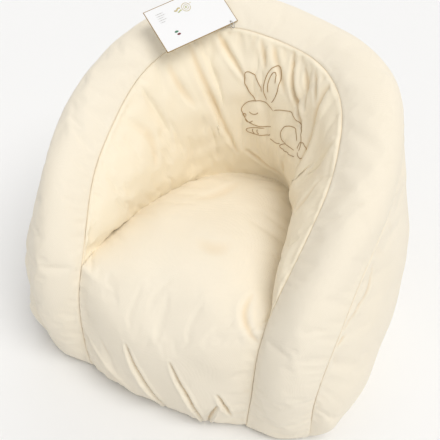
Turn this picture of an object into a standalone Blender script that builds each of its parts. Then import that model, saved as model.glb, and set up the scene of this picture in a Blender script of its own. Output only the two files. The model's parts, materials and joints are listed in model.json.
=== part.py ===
# Soft tub armchair for a toddler: a horseshoe bolster round a padded seat, in a sewn
# cover that comes off by a zip round the foot of its back, with a card tag on the back.
# The front faces -Y, the chair stands on z = 0, and its two halves mirror in X.

import math

import bmesh
import bpy
import numpy as np
from mathutils import Matrix, Vector

# ---------------------------------------------------------------- driving sizes (metres)
foot_radius = 0.252          # round foot of the back, about an upright line
foot_centre_y = -0.020
front_y = -0.200             # front hem, at the two lower inner seams
apron_half = 0.126           # half width of the apron at the floor
arm_foot_width = 0.089       # each bolster end, at the floor
arm_foot_setback = 0.022     # outer corner of a bolster end, behind the front hem
seat_half = 0.135            # half width of the seat at its front corners
seat_corner_y = -0.184
seat_height = 0.207          # seat seam at the front corners
seat_fall = 0.023            # drop of the seat seam to the back
seat_back_y = 0.118
crest_half = 0.235           # half width over the outer seams
back_seam_y = 0.127          # top of the inner seam
back_seam_height = 0.446
back_width = 0.108           # bolster between its seams at the top of the back
back_drop = 0.020            # outer seam below the inner one there

band_crown = 0.036           # how far each filled panel stands proud of its seams
band_crown_foot = 0.010
wall_crown = 0.024
lining_crown = 0.024
seat_crown = 0.026
apron_crown = 0.030

cloth = 0.0020               # quilted cover cloth
fit_gap = 0.0006             # running clearance between small pieces
fill_gap = 0.0009            # cover to what fills it, and filling to wadding
seam_gap = 0.0022            # each panel stops this far short of its seam
wadding = 0.0090             # fibre wadding behind the lining and under the seat top
base_thick = 0.0030

zip_start = math.radians(38.0)     # about the upright line, from +X
zip_end = math.radians(142.0)
zip_foot_z = 0.0100
tape_width = 0.0110
tape_thick = 0.0008
coil_width = 0.0024
coil_proud = 0.0016
coil_gap = 0.0008
zip_skirt = 0.044            # upright foot of the outer wall, where the zip lies
stop_length = 0.0030
stop_proud = 0.0004          # end stops, past the coils

slider_length = 0.0105
slider_width = 0.0090
slider_thick = 0.0028
slider_clear = 0.0006
slider_parked = math.radians(3.0)  # slider from the zip's closed end
pull_length = 0.0240
pull_width = 0.0070
pull_thick = 0.0012
pull_hole = (0.0034, 0.0056)       # width and length of the eye in the pull
pull_bar = 0.0011            # end bar of the eye, which turns under the slider's bridge
bridge_width = 0.0016
bridge_room = 0.0024         # height under the bridge
bridge_thick = 0.0010
bridge_span = 0.0076
bridge_sunk = 0.0006         # feet of the bridge, into the slider's plate
lip_thick = 0.0009
lip_reach = 0.0008           # slider's side lips, down past its plate

card_long = 0.114
card_short = 0.066
card_thick = 0.0010
card_corner = 0.003
card_along = Vector((0.536, 0.832, 0.140)).normalized()
card_up = Vector((-0.775, 0.430, 0.520))
card_inset = 0.0036          # eyelet from the card's long edge
card_end = 0.0100            # eyelet from the card's short edge
eyelet_radius = 0.0014
loop_radius = 0.0050         # tag loop, to the middle of its wire
loop_wire = 0.0006
loop_ahead = 0.0027          # loop's middle, ahead of its seam
loop_lift = 0.0003           # loop's foot, above its seam
tag_share = 0.885            # where the tag hangs, along the left inner seam from the seat corner

label_height = 0.036
label_thick = 0.0005
label_below = 0.002          # label's top edge, below the outer seam
label_stand = 0.0015         # label off the wall
label_column = 2             # stations from the left end of the back's rear stretch in to the label

# ---------------------------------------------------------------- mesh fineness
low_steps = 6                # stations up a bolster end, floor to seat corner
side_steps = 10              # seat corner to the rear stretch of the seat seam
rear_steps = 8               # rear stretch, to the middle
band_rows = 8
wall_rows = 7
lining_rows = 8
rear_share = 0.62            # share of the seat seam before its rear stretch

half_steps = low_steps + side_steps + rear_steps


def smooth_curve(points, shares):
    """Points on a natural cubic through the given points, at shares of its knots."""
    pts = np.array(points, float)
    gaps = np.sqrt(np.linalg.norm(np.diff(pts, axis=0), axis=1))
    knots = np.concatenate([[0.0], np.cumsum(gaps)])
    knots /= knots[-1]
    count = len(pts)
    system = np.zeros((count, count))
    right = np.zeros_like(pts)
    system[0, 0] = 1.0
    system[-1, -1] = 1.0
    for i in range(1, count - 1):
        before, after = knots[i] - knots[i - 1], knots[i + 1] - knots[i]
        system[i, i - 1:i + 2] = before, 2.0 * (before + after), after
        right[i] = 6.0 * ((pts[i + 1] - pts[i]) / after - (pts[i] - pts[i - 1]) / before)
    bend = np.linalg.solve(system, right)
    spots = []
    for share in shares:
        i = int(np.clip(np.searchsorted(knots, share) - 1, 0, count - 2))
        span = knots[i + 1] - knots[i]
        a = (knots[i + 1] - share) / span
        b = (share - knots[i]) / span
        curve = ((a ** 3 - a) * bend[i] + (b ** 3 - b) * bend[i + 1]) * span ** 2 / 6.0
        spots.append(a * pts[i] + b * pts[i + 1] + curve)
    return np.array(spots)


def mirrored(half):
    """Right half of a seam, floor to middle, carried on down the left side."""
    left = half[-2::-1] * np.array([-1.0, 1.0, 1.0])
    return np.vstack([half, left])


def unit(vectors):
    return vectors / np.maximum(np.linalg.norm(vectors, axis=-1, keepdims=True), 1e-9)


# ---------------------------------------------------------------- seams
def inner_seam():
    """Between bolster band and lining above the seat corner, band and apron below it."""
    rise = back_seam_height - seat_height
    run = back_seam_y - seat_corner_y
    foot = (apron_half, front_y, 0.0)
    corner = (seat_half, seat_corner_y, seat_height)
    lower = [foot, (apron_half + 0.6 * (seat_half - apron_half), front_y - 0.007, 0.42 * seat_height),
             (seat_half - 0.002, front_y - 0.002, 0.74 * seat_height), corner]
    upper = [(seat_half + 0.012, seat_corner_y + 0.19 * run, seat_height + 0.36 * rise),
             (seat_half + 0.019, seat_corner_y + 0.40 * run, seat_height + 0.57 * rise),
             (seat_half + 0.009, seat_corner_y + 0.66 * run, seat_height + 0.77 * rise),
             (seat_half - 0.036, seat_corner_y + 0.885 * run, seat_height + 0.93 * rise),
             (seat_half - 0.081, seat_corner_y + 0.975 * run, seat_height + 0.985 * rise),
             (0.0, back_seam_y, back_seam_height),
             (-(seat_half - 0.081), seat_corner_y + 0.975 * run, seat_height + 0.985 * rise)]
    whole = lower + upper
    dense = smooth_curve(whole, np.linspace(0.0, 1.0, 400))
    corner_at = int(np.argmin(np.linalg.norm(dense - np.array(corner), axis=1)))
    middle_at = int(np.argmin(np.abs(dense[:, 0])))
    low = spaced(dense[:corner_at + 1], low_steps)
    high = spaced(dense[corner_at:middle_at + 1], side_steps + rear_steps)
    low[-1] = corner
    high[0] = corner
    high[-1] = (0.0, high[-1][1], high[-1][2])
    return np.vstack([low, high[1:]])


def outer_seam():
    """Between bolster band and outer wall."""
    corner_x = apron_half + arm_foot_width
    corner_y = front_y + arm_foot_setback
    top = (0.0, back_seam_y + back_width, back_seam_height - back_drop)
    rise = top[2] - seat_height
    run = top[1] - corner_y
    points = [(corner_x, corner_y, 0.0), (corner_x + 0.001, corner_y - 0.015, 0.48 * seat_height),
              (crest_half - 0.014, corner_y - 0.005, 0.94 * seat_height),
              (crest_half - 0.005, corner_y + 0.14 * run, seat_height + 0.34 * rise),
              (crest_half, corner_y + 0.31 * run, seat_height + 0.53 * rise),
              (crest_half - 0.008, corner_y + 0.49 * run, seat_height + 0.68 * rise),
              (crest_half - 0.038, corner_y + 0.68 * run, seat_height + 0.81 * rise),
              (crest_half - 0.089, corner_y + 0.84 * run, seat_height + 0.91 * rise),
              (crest_half - 0.157, corner_y + 0.956 * run, seat_height + 0.978 * rise),
              top,
              (-(crest_half - 0.157), corner_y + 0.956 * run, seat_height + 0.978 * rise)]
    dense = smooth_curve(points, np.linspace(0.0, 1.0, 400))
    middle_at = int(np.argmin(np.abs(dense[:, 0])))
    low_at = int(np.argmin(np.abs(dense[:middle_at, 2] - 0.93 * seat_height)))
    low = spaced(dense[:low_at + 1], low_steps)
    high = spaced(dense[low_at:middle_at + 1], side_steps + rear_steps)
    high[-1] = (0.0, high[-1][1], high[-1][2])
    return np.vstack([low, high[1:]])


def seat_seam():
    """Round the seat top, from the front corner back to the middle."""
    run = seat_back_y - seat_corner_y
    points = [(seat_half, seat_corner_y), (seat_half + 0.002, seat_corner_y + 0.25 * run),
              (seat_half - 0.009, seat_corner_y + 0.43 * run),
              (seat_half - 0.026, seat_corner_y + 0.62 * run),
              (seat_half - 0.047, seat_corner_y + 0.80 * run),
              (seat_half - 0.078, seat_corner_y + 0.925 * run),
              (seat_half - 0.107, seat_corner_y + 0.98 * run), (0.0, seat_back_y),
              (-(seat_half - 0.107), seat_corner_y + 0.98 * run)]
    dense = smooth_curve([(x, y, 0.0) for x, y in points], np.linspace(0.0, 1.0, 400))
    middle_at = int(np.argmin(np.abs(dense[:, 0])))
    dense = dense[:middle_at + 1]
    back = (dense[:, 1] - seat_corner_y) / run
    dense[:, 2] = seat_height - seat_fall * np.clip(back, 0.0, 1.0)
    split = int(rear_share * len(dense))
    side = spaced(dense[:split + 1], side_steps)
    rear = spaced(dense[split:], rear_steps)
    rear[-1] = (0.0, rear[-1][1], rear[-1][2])
    return np.vstack([side, rear[1:]])


def spaced(path, steps):
    """The path's points, read again at even distances."""
    along = np.concatenate([[0.0], np.cumsum(np.linalg.norm(np.diff(path, axis=0), axis=1))])
    marks = np.linspace(0.0, along[-1], steps + 1)
    return np.stack([np.interp(marks, along, path[:, k]) for k in range(3)], axis=1)


def foot_outline():
    """Foot of the outer wall, from a bolster end's outer corner to the middle of the back."""
    corner = np.array([apron_half + arm_foot_width, front_y + arm_foot_setback - foot_centre_y])
    start = math.atan2(corner[1], corner[0])
    extra = np.linalg.norm(corner) - foot_radius
    spots = []
    for k in range(half_steps + 1):
        angle = start + (math.pi / 2 - start) * (k / half_steps) ** 1.25
        ahead = max(0.0, angle / start)
        radius = foot_radius + extra * ahead ** 2
        spots.append((radius * math.cos(angle), foot_centre_y + radius * math.sin(angle), 0.0))
    spots[-1] = (0.0, spots[-1][1], 0.0)
    return np.array(spots)


# ---------------------------------------------------------------- panels, as grids of points
def between(first, second, rows, crown, outward, power=0.8):
    """Rows from one seam to the other, standing proud along the outward directions."""
    steps = np.linspace(0.0, 1.0, rows + 1)
    grid = []
    for step in steps:
        proud = (crown * math.sin(math.pi * step) ** power)[:, None] if 0 < step < 1 else 0.0
        grid.append(first * (1.0 - step) + second * step + proud * outward)
    return np.array(grid)


def outward_of(first, second, towards):
    """Square to the strip between two seams, on the side that the given vectors point to."""
    run = unit(np.gradient(first + second, axis=0))
    square = unit(np.cross(run, second - first))
    side = np.sign(np.sum(square * towards, axis=1, keepdims=True))
    return square * np.where(side == 0.0, 1.0, side)


def ramp(values, low, high):
    share = np.clip((values - low) / (high - low), 0.0, 1.0)
    return share * share * (3.0 - 2.0 * share)


def band_grid(inner, outer):
    middle = (inner + outer) / 2.0
    towards = unit(middle - np.array([0.0, 0.05, 0.10]))
    crown = band_crown_foot + (band_crown - band_crown_foot) * ramp(middle[:, 2], -0.04, 0.28)
    return between(inner, outer, band_rows, crown, outward_of(inner, outer, towards))


def wall_grid(outer, foot):
    """Outer wall: a crowned panel that ends in an upright skirt round the foot."""
    towards = foot - np.array([0.0, foot_centre_y, 0.0])
    behind = ramp(np.degrees(np.arctan2(foot[:, 1] - foot_centre_y, np.abs(foot[:, 0]))), -36.0, 5.0)
    top = foot + np.stack([0.0 * behind, 0.0 * behind, zip_skirt * behind], axis=1)
    crown = wall_crown * ramp(np.linalg.norm(outer - foot, axis=1), 0.0, 0.12)
    flat = unit(towards * np.array([1.0, 1.0, 0.0]))
    upper = between(outer, top, wall_rows - 1, crown, flat, 1.0)
    return np.concatenate([upper, foot[None]])


def lining_grid(inner, seat):
    middle = (inner + seat) / 2.0
    towards = np.array([0.0, -0.03, 0.30]) - middle
    grown = lining_crown * ramp(np.linalg.norm(inner - seat, axis=1), 0.0, 0.12)
    return between(seat, inner, lining_rows, grown, outward_of(seat, inner, towards), 0.75)


def seat_grid(inner_low, seat_half_seam):
    """Apron and seat top in one cloth: rows from the hem up, over the front, and back."""
    side = np.vstack([inner_low, seat_half_seam[1:side_steps + 1]])
    rear = seat_half_seam[side_steps:]
    back = rear[-1]
    top_z = seat_height + 0.5 * seat_crown
    middle = [(0.0, front_y - 0.5 * apron_crown, 0.0), (0.0, front_y - apron_crown, 0.32 * seat_height),
              (0.0, front_y - apron_crown, 0.66 * seat_height),
              (0.0, front_y - 0.45 * apron_crown, 0.93 * seat_height),
              (0.0, front_y + 0.040, top_z + 0.003), (0.0, front_y + 0.115, seat_height + 0.8 * seat_crown),
              (0.0, front_y + 0.215, seat_height - 0.5 * seat_fall + 0.7 * seat_crown),
              (0.0, 0.25 * front_y + 0.75 * back[1] + 0.055, back[2] + 0.012), tuple(back)]
    profile = spaced(smooth_curve(middle, np.linspace(0.0, 1.0, 400)), len(side) - 1)
    columns = np.linspace(1.0, -1.0, 2 * rear_steps + 1)
    last = np.vstack([rear, (rear[-2::-1] * np.array([-1.0, 1.0, 1.0]))])
    grid = []
    for row in range(len(side)):
        late = ramp(np.array(row / (len(side) - 1.0)), 0.45, 1.0)
        line = []
        for k, share in enumerate(columns):
            full = 1.0 - abs(share) ** 2.6
            spot = side[row] * (1.0 - full) + profile[row] * full
            spot[0] = side[row][0] * share
            target = last[k]
            start = side[-1] * (1.0 - full) + profile[-1] * full
            start[0] = side[-1][0] * share
            line.append(spot + late * (target - start))
        grid.append(line)
    return np.array(grid)


def skin():
    """Every panel of the filled cover, as grids that share their seams' points."""
    inner_half, outer_half, foot_half = inner_seam(), outer_seam(), foot_outline()
    seat = seat_seam()
    inner, outer, foot = mirrored(inner_half), mirrored(outer_half), mirrored(foot_half)
    return {
        "band": band_grid(inner, outer),
        "wall": wall_grid(outer, foot),
        "lining": lining_grid(mirrored(inner_half[low_steps:]), mirrored(seat)),
        "seat": seat_grid(inner_half[:low_steps + 1], seat),
    }


def normals_of(grid):
    """Outward direction at each point of a grid, from its neighbours."""
    across = np.gradient(grid, axis=0)
    along = np.gradient(grid, axis=1)
    square = np.cross(across, along)
    lengths = np.linalg.norm(square, axis=2, keepdims=True)
    square = np.where(lengths > 1e-9, square / np.maximum(lengths, 1e-9), 0.0)
    return square


# ---------------------------------------------------------------- objects
def new_collection(name):
    made = bpy.data.collections.new(name)
    bpy.context.scene.collection.children.link(made)
    return made


def material(name, colour, roughness, metallic=0.0):
    made = bpy.data.materials.new(name)
    made.use_nodes = True
    shader = made.node_tree.nodes["Principled BSDF"]
    shader.inputs["Base Color"].default_value = (*colour, 1.0)
    shader.inputs["Roughness"].default_value = roughness
    shader.inputs["Metallic"].default_value = metallic
    return made


def add_object(name, mesh, finish, group, smooth=True):
    made = bpy.data.objects.new(name, mesh)
    group.objects.link(made)
    mesh.materials.append(finish)
    if smooth:
        mesh.shade_smooth()
    return made


def surface(name, grid):
    """Open mesh over a grid; points that coincide, as at a panel's corner, are one."""
    rows, columns = grid.shape[:2]
    bm = bmesh.new()
    spots = [[bm.verts.new(grid[i, j]) for j in range(columns)] for i in range(rows)]
    for i in range(rows - 1):
        for j in range(columns - 1):
            bm.faces.new((spots[i][j], spots[i + 1][j], spots[i + 1][j + 1], spots[i][j + 1]))
    bmesh.ops.remove_doubles(bm, verts=bm.verts, dist=1e-5)
    mesh = bpy.data.meshes.new(name)
    bm.to_mesh(mesh)
    bm.free()
    return mesh


def trimmed(grid):
    """The grid with its four edges drawn in by the seam gap."""
    out = grid.copy()
    for axis in (0, 1):
        out = np.moveaxis(out, axis, 0)
        for edge, inside in ((0, 1), (-1, -2)):
            step = out[inside] - out[edge]
            length = np.linalg.norm(step, axis=1, keepdims=True)
            share = np.clip(seam_gap / np.maximum(length, 1e-9), 0.0, 0.6)
            out[edge] = out[edge] + step * share
        out = np.moveaxis(out, 0, axis)
    return out


def shell(name, grid, thickness, finish, group):
    """Cloth panel: an open surface, thickened inward."""
    made = add_object(name, surface(name, grid), finish, group)
    solid = made.modifiers.new("thickness", "SOLIDIFY")
    solid.thickness = thickness
    solid.offset = -1.0
    return made


def closed_form(name, rings, finish, group):
    """Solid through closed rings of points, with a fan of faces over each end."""
    bm = bmesh.new()
    loops = [[bm.verts.new(spot) for spot in ring] for ring in rings]
    count = len(loops[0])
    for first, second in zip(loops, loops[1:]):
        for k in range(count):
            after = (k + 1) % count
            bm.faces.new((first[k], first[after], second[after], second[k]))
    bm.faces.new(list(reversed(loops[0])))
    bm.faces.new(loops[-1])
    bmesh.ops.recalc_face_normals(bm, faces=bm.faces)
    mesh = bpy.data.meshes.new(name)
    bm.to_mesh(mesh)
    bm.free()
    return add_object(name, mesh, finish, group)


def arc_bar(name, near, far, low, high, start, end, finish, group, steps=40):
    """Rectangular bar along the zip's arc, between two radii and two heights."""
    rings = []
    for k in range(steps + 1):
        angle = start + (end - start) * k / steps
        out = np.array([math.cos(angle), math.sin(angle)])
        ring = []
        for radius, height in ((near, low), (far, low), (far, high), (near, high)):
            ring.append((radius * out[0], foot_centre_y + radius * out[1], height))
        rings.append(ring)
    return closed_form(name, rings, finish, group)


# ---------------------------------------------------------------- cover and filling
def make_cover(panels, cream, group):
    shell("band_panel", trimmed(panels["band"]), cloth, cream, group)
    shell("outer_panel", trimmed(panels["wall"]), cloth, cream, group)
    shell("lining_panel", trimmed(panels["lining"]), cloth, cream, group)
    shell("seat_panel", trimmed(panels["seat"]), cloth, cream, group)


def sunk(grid, depth):
    """The grid moved inward by one depth, or by a depth for each point."""
    return grid - normals_of(grid) * np.asarray(depth)[..., None]


def make_wadding(panels, fibre, group):
    """Fibre pads under the lining and under the seat top, clear of the panels' seams."""
    lining = sunk(panels["lining"], cloth + fill_gap)[1:-1, 3:-3]
    shell("lining_wadding", lining, wadding, fibre, group)
    first = low_steps + 2
    seat = sunk(panels["seat"], cloth + fill_gap)[first:-2, 2:-2]
    shell("seat_wadding", seat, wadding, fibre, group)


def padded_depths(rows, columns, first_row, last_row, first_column, last_column):
    """Depth of the filling under each point of a panel: deeper where wadding lies on it."""
    depths = np.full((rows, columns), cloth + fill_gap)
    depths[first_row:last_row, first_column:last_column] += wadding + fill_gap
    return depths


def filling(name, parts, inner_line, side, finish, group):
    """Foam inside some of the cover's panels.

    The panels' points go in by their depths and are welded along the seams. The edge
    along the seat (inner_line) is carried straight down, and the foot is filled in.
    """
    bm = bmesh.new()
    deep = bm.verts.layers.float.new("depth")
    for grid, depths in parts:
        rows, columns = grid.shape[:2]
        spots = [[bm.verts.new(grid[i, j]) for j in range(columns)] for i in range(rows)]
        for i in range(rows):
            for j in range(columns):
                spots[i][j][deep] = depths[i, j]
        for i in range(rows - 1):
            for j in range(columns - 1):
                ring = (spots[i][j], spots[i][j + 1], spots[i + 1][j + 1], spots[i + 1][j])
                bm.faces.new(ring)
    bmesh.ops.remove_doubles(bm, verts=bm.verts, dist=1e-5)
    bmesh.ops.recalc_face_normals(bm, faces=bm.faces)
    bm.normal_update()
    if sum(face.normal.z * face.calc_area() for face in bm.faces) < 0:
        bmesh.ops.reverse_faces(bm, faces=bm.faces)
    bm.normal_update()
    foot_z = base_thick + fit_gap
    line = np.array(inner_line)
    edge_verts = {}
    for vert in bm.verts:
        if vert.is_boundary:
            away = np.linalg.norm(line - np.array(vert.co), axis=1)
            if away.min() < 1e-4:
                edge_verts[vert] = int(away.argmin())
    moves = {vert: vert.co - vert.normal * vert[deep] for vert in bm.verts}
    sideways = unit(np.gradient(line, axis=0)[:, [1, 0, 2]] * np.array([1.0, -1.0, 0.0]))
    for vert, k in edge_verts.items():
        flat = Vector(sideways[k] * np.array([1.0, 1.0, 0.0]))
        if flat.dot(vert.co - Vector((0.0, -0.05, vert.co.z))) < 0.0:
            flat.negate()
        moves[vert] = moves[vert] + flat * (side * fit_gap)
    for vert, spot in moves.items():
        vert.co = spot
        vert.co.z = max(vert.co.z, foot_z)
    skirt = [edge for edge in bm.edges if edge.is_boundary
             and edge.verts[0] in edge_verts and edge.verts[1] in edge_verts]
    made = bmesh.ops.extrude_edge_only(bm, edges=skirt)["geom"]
    lean = (seat_corner_y - front_y) / seat_height
    for vert in (item for item in made if isinstance(item, bmesh.types.BMVert)):
        vert.co.y = max(vert.co.y, front_y + lean * vert.co.z + cloth)
        vert.co.z = foot_z
    bmesh.ops.remove_doubles(bm, verts=bm.verts, dist=1e-5)
    bmesh.ops.holes_fill(bm, edges=[edge for edge in bm.edges if edge.is_boundary])
    bmesh.ops.recalc_face_normals(bm, faces=bm.faces)
    mesh = bpy.data.meshes.new(name)
    bm.to_mesh(mesh)
    bm.free()
    add_object(name, mesh, finish, group)


def make_filling(panels, foam, group):
    band, wall, lining, seat = (panels[key] for key in ("band", "wall", "lining", "seat"))
    thin = cloth + fill_gap
    lining_depths = padded_depths(*lining.shape[:2], 1, -1, 3, -3)
    seat_depths = padded_depths(*seat.shape[:2], low_steps + 2, -2, 2, -2)
    lower = band[0][:low_steps + 1]
    lower_left = band[0][-low_steps - 1:]
    seat_line = np.vstack([lower[:-1], lining[0], lower_left[1:]])
    bolster = [(band, np.full(band.shape[:2], thin)), (wall, np.full(wall.shape[:2], thin)),
               (lining, lining_depths)]
    filling("bolster_foam", bolster, seat_line, 1.0, foam, group)
    filling("seat_foam", [(seat, seat_depths)], seat_line, -1.0, foam, group)


def make_base(panels, base_cloth, group):
    """Flat base, inside the feet of the other panels."""
    hem = panels["seat"][0]
    right = panels["band"][:, 0][1:-1]
    left = panels["band"][:, -1][1:-1]
    round_back = panels["wall"][-1]
    ring = np.vstack([hem[::-1], right, round_back, left[::-1]])[:, :2]
    before = np.roll(ring, 1, axis=0)
    after = np.roll(ring, -1, axis=0)
    run = unit(after - before)
    inward = np.stack([-run[:, 1], run[:, 0]], axis=1)
    ring = ring + inward * (cloth + 2.0 * fit_gap)
    low = [(x, y, 0.0) for x, y in ring]
    high = [(x, y, base_thick) for x, y in ring]
    closed_form("base_panel", [low, high], base_cloth, group)


# ---------------------------------------------------------------- zip
def make_zip(tape, nylon, metal, group):
    """Zip round the foot of the back: two tapes, two coils, end stops, slider and pull."""
    near = foot_radius + fit_gap
    lower_top = zip_foot_z + tape_width
    coil_low = lower_top + fit_gap
    coil_high = coil_low + coil_width + coil_gap
    upper_foot = coil_high + coil_width + fit_gap
    middle_z = coil_low + coil_width + coil_gap / 2.0
    arc_bar("zip_tape_lower", near, near + tape_thick, zip_foot_z, lower_top,
            zip_start, zip_end, tape, group)
    arc_bar("zip_tape_upper", near, near + tape_thick, upper_foot, upper_foot + tape_width,
            zip_start, zip_end, tape, group)
    stop_turn = stop_length / foot_radius
    coil_start, coil_end = zip_start + 2.0 * stop_turn, zip_end - 2.0 * stop_turn
    arc_bar("zip_coil_lower", near, near + coil_proud, coil_low, coil_low + coil_width,
            coil_start, coil_end, nylon, group, 60)
    arc_bar("zip_coil_upper", near, near + coil_proud, coil_high, coil_high + coil_width,
            coil_start, coil_end, nylon, group, 60)
    stop_far = near + coil_proud + stop_proud
    gap_turn = fit_gap / foot_radius
    arc_bar("zip_stop_closed", near, stop_far, coil_low, coil_high + coil_width,
            coil_start - stop_turn - gap_turn, coil_start - gap_turn, metal, group, 2)
    arc_bar("zip_stop_open", near, stop_far, coil_low, coil_high + coil_width,
            coil_end + gap_turn, coil_end + gap_turn + stop_turn, metal, group, 2)

    axis = bpy.data.objects.new("zip_axis", None)
    axis.location = (0.0, foot_centre_y, middle_z)
    parked = coil_start + slider_parked + 0.5 * slider_length / foot_radius
    axis.rotation_euler = (0.0, 0.0, parked)
    group.objects.link(axis)
    under = near + coil_proud + slider_clear
    slider = make_slider(under, metal, group)
    slider.parent = axis
    pivot = bpy.data.objects.new("pull_axis", None)
    pivot.location = (under + slider_thick + bridge_room / 2.0, 0.0, 0.0)
    pivot.parent = axis
    group.objects.link(pivot)
    pull = make_pull(metal, group)
    pull.parent = pivot


def make_slider(under, metal, group):
    """Plate with two side lips and a bridge; X points out of the zip, Y along it."""
    half = slider_width / 2.0
    top = under + slider_thick
    inside = half - lip_thick
    section = [(under - lip_reach, -half), (top, -half), (top, half), (under - lip_reach, half),
               (under - lip_reach, inside), (under, inside), (under, -inside),
               (under - lip_reach, -inside)]
    ends = (-slider_length / 2.0, slider_length / 2.0)
    rings = [[(x, y, z) for x, z in section] for y in ends]
    slider = closed_form("zip_slider", rings, metal, group)
    reach = bridge_span / 2.0
    post = bridge_thick
    low, high = top - bridge_sunk, top + bridge_room
    arch = [(low, -reach), (high + bridge_thick, -reach), (high + bridge_thick, reach),
            (low, reach), (low, reach - post), (high, reach - post), (high, post - reach),
            (low, post - reach)]
    sides = (-bridge_width / 2.0, bridge_width / 2.0)
    rings = [[(x, y, z) for x, y in arch] for z in sides]
    bridge = closed_form("slider_bridge", rings, metal, cutter_group())
    bridge.parent = bpy.data.objects["zip_axis"]
    bridge.hide_render = True
    bridge.display_type = "WIRE"
    join = slider.modifiers.new("bridge", "BOOLEAN")
    join.operation = "UNION"
    join.object = bridge
    return slider


def cutter_group():
    return bpy.data.collections.get("helpers") or new_collection("helpers")


def outline_curve(name, splines, thickness, finish, group):
    """Flat piece from closed outlines, the later ones holes; thin along its own Z."""
    curve = bpy.data.curves.new(name, "CURVE")
    curve.dimensions = "2D"
    curve.fill_mode = "BOTH"
    curve.extrude = thickness / 2.0
    for points in splines:
        spline = curve.splines.new("POLY")
        spline.points.add(len(points) - 1)
        for point, (x, y) in zip(spline.points, points):
            point.co = (x, y, 0.0, 1.0)
        spline.use_cyclic_u = True
    curve.materials.append(finish)
    made = bpy.data.objects.new(name, curve)
    group.objects.link(made)
    return made


def round_rectangle(centre, width, height, corner, steps=4):
    spots = []
    for turn, (sx, sy) in enumerate(((1, 1), (-1, 1), (-1, -1), (1, -1))):
        middle = (centre[0] + sx * (width / 2 - corner), centre[1] + sy * (height / 2 - corner))
        for k in range(steps + 1):
            angle = math.pi / 2 * (turn + k / steps)
            spots.append((middle[0] + corner * math.cos(angle), middle[1] + corner * math.sin(angle)))
    return spots


def make_pull(metal, group):
    """Flat tab that turns on the end bar of its eye; lies along the zip at rest."""
    hole_width, hole_length = pull_hole
    near_edge = -pull_bar / 2.0
    body = round_rectangle((0.0, near_edge + pull_length / 2.0), pull_width, pull_length, 0.0022)
    eye = round_rectangle((0.0, pull_bar / 2.0 + hole_length / 2.0), hole_width, hole_length, 0.0006, 2)
    pull = outline_curve("zip_pull", [body, eye], pull_thick, metal, group)
    pull.rotation_euler = (0.0, math.pi / 2.0, 0.0)
    return pull


# ---------------------------------------------------------------- tag and label
def make_tag(panels, card, plastic, group):
    """Card tag on a plastic loop sewn in the inner seam, lying on the top of the band."""
    seam = panels["lining"][-1]
    spot = seam_point(seam, 1.0 - tag_share / 2.0)
    along = card_along
    up = (card_up - along * card_up.dot(along)).normalized()
    face = along.cross(up).normalized()
    centre = Vector(spot) + face * (loop_radius + loop_lift) - up * loop_ahead
    turn = Matrix((along, up, face)).transposed()

    bpy.ops.mesh.primitive_torus_add(major_radius=loop_radius, minor_radius=loop_wire,
                                     major_segments=28, minor_segments=8)
    loop = bpy.context.object
    loop.name = "tag_loop"
    for owner in list(loop.users_collection):
        owner.objects.unlink(loop)
    group.objects.link(loop)
    loop.data.materials.append(plastic)
    loop.data.shade_smooth()
    loop.matrix_world = Matrix.Translation(centre) @ Matrix((face, up, -along)).transposed().to_4x4()

    axis = bpy.data.objects.new("tag_axis", None)
    axis.matrix_world = Matrix.Translation(centre) @ turn.to_4x4()
    group.objects.link(axis)
    eyelet = [(eyelet_radius * math.cos(a), eyelet_radius * math.sin(a))
              for a in np.linspace(0.0, 2.0 * math.pi, 17)[:-1]]
    middle = (card_end - card_long / 2.0, card_short / 2.0 - card_inset)
    outline = round_rectangle(middle, card_long, card_short, card_corner)
    tag = outline_curve("tag_card", [outline, eyelet], card_thick, card, group)
    tag.location = (0.0, loop_radius, 0.0)
    tag.parent = axis


def seam_point(seam, share):
    """Point at a share of a seam's length."""
    along = np.concatenate([[0.0], np.cumsum(np.linalg.norm(np.diff(seam, axis=0), axis=1))])
    mark = share * along[-1]
    return [float(np.interp(mark, along, seam[:, k])) for k in range(3)]


def make_label(panels, satin, group):
    """Blank care label, sewn in the outer seam and hanging down the back."""
    wall = panels["wall"]
    column = low_steps + side_steps + 2 * rear_steps - label_column
    rows = []
    for drop in np.linspace(label_below, label_below + label_height, 5):
        ends = []
        for line in (column, column + 1):
            down = wall[:4, line]
            ends.append(seam_point(down, drop / np.linalg.norm(np.diff(down, axis=0), axis=1).sum()))
        rows.append(ends)
    grid = np.array(rows)
    outward = unit(grid * np.array([1.0, 1.0, 0.0]) - np.array([0.0, foot_centre_y, 0.0]))
    label = shell("care_label", (grid + outward * label_stand)[:, ::-1], label_thick, satin, group)
    label.modifiers["thickness"].offset = 0.0


def build():
    for old in list(bpy.data.objects):
        bpy.data.objects.remove(old, do_unlink=True)
    chair = new_collection("toddler_armchair")
    cream = material("cream_cotton", (0.93, 0.85, 0.70), 0.9)
    base_cloth = material("base_cotton", (0.86, 0.79, 0.66), 0.95)
    fibre = material("fibre_wadding", (0.95, 0.95, 0.94), 1.0)
    foam = material("foam", (0.93, 0.90, 0.72), 1.0)
    tape = material("zip_tape", (0.90, 0.84, 0.72), 0.85)
    nylon = material("nylon_coil", (0.93, 0.90, 0.82), 0.4)
    metal = material("enamelled_metal", (0.90, 0.87, 0.80), 0.35)
    card = material("white_card", (0.96, 0.96, 0.95), 0.5)
    plastic = material("clear_plastic", (0.85, 0.85, 0.85), 0.3)
    satin = material("label_satin", (0.97, 0.97, 0.97), 0.5)
    panels = skin()
    make_cover(panels, cream, chair)
    make_wadding(panels, fibre, chair)
    make_filling(panels, foam, chair)
    make_base(panels, base_cloth, chair)
    make_zip(tape, nylon, metal, chair)
    make_tag(panels, card, plastic, chair)
    make_label(panels, satin, chair)


build()
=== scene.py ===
# Soft tub armchair for a toddler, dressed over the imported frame: puffy cream covers with
# gathered seams, an embroidered rabbit, a card tag on its loop, and a zip round the foot.
# The front faces -Y and the chair stands on z = 0; all lengths are metres.

import json
import math

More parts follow.
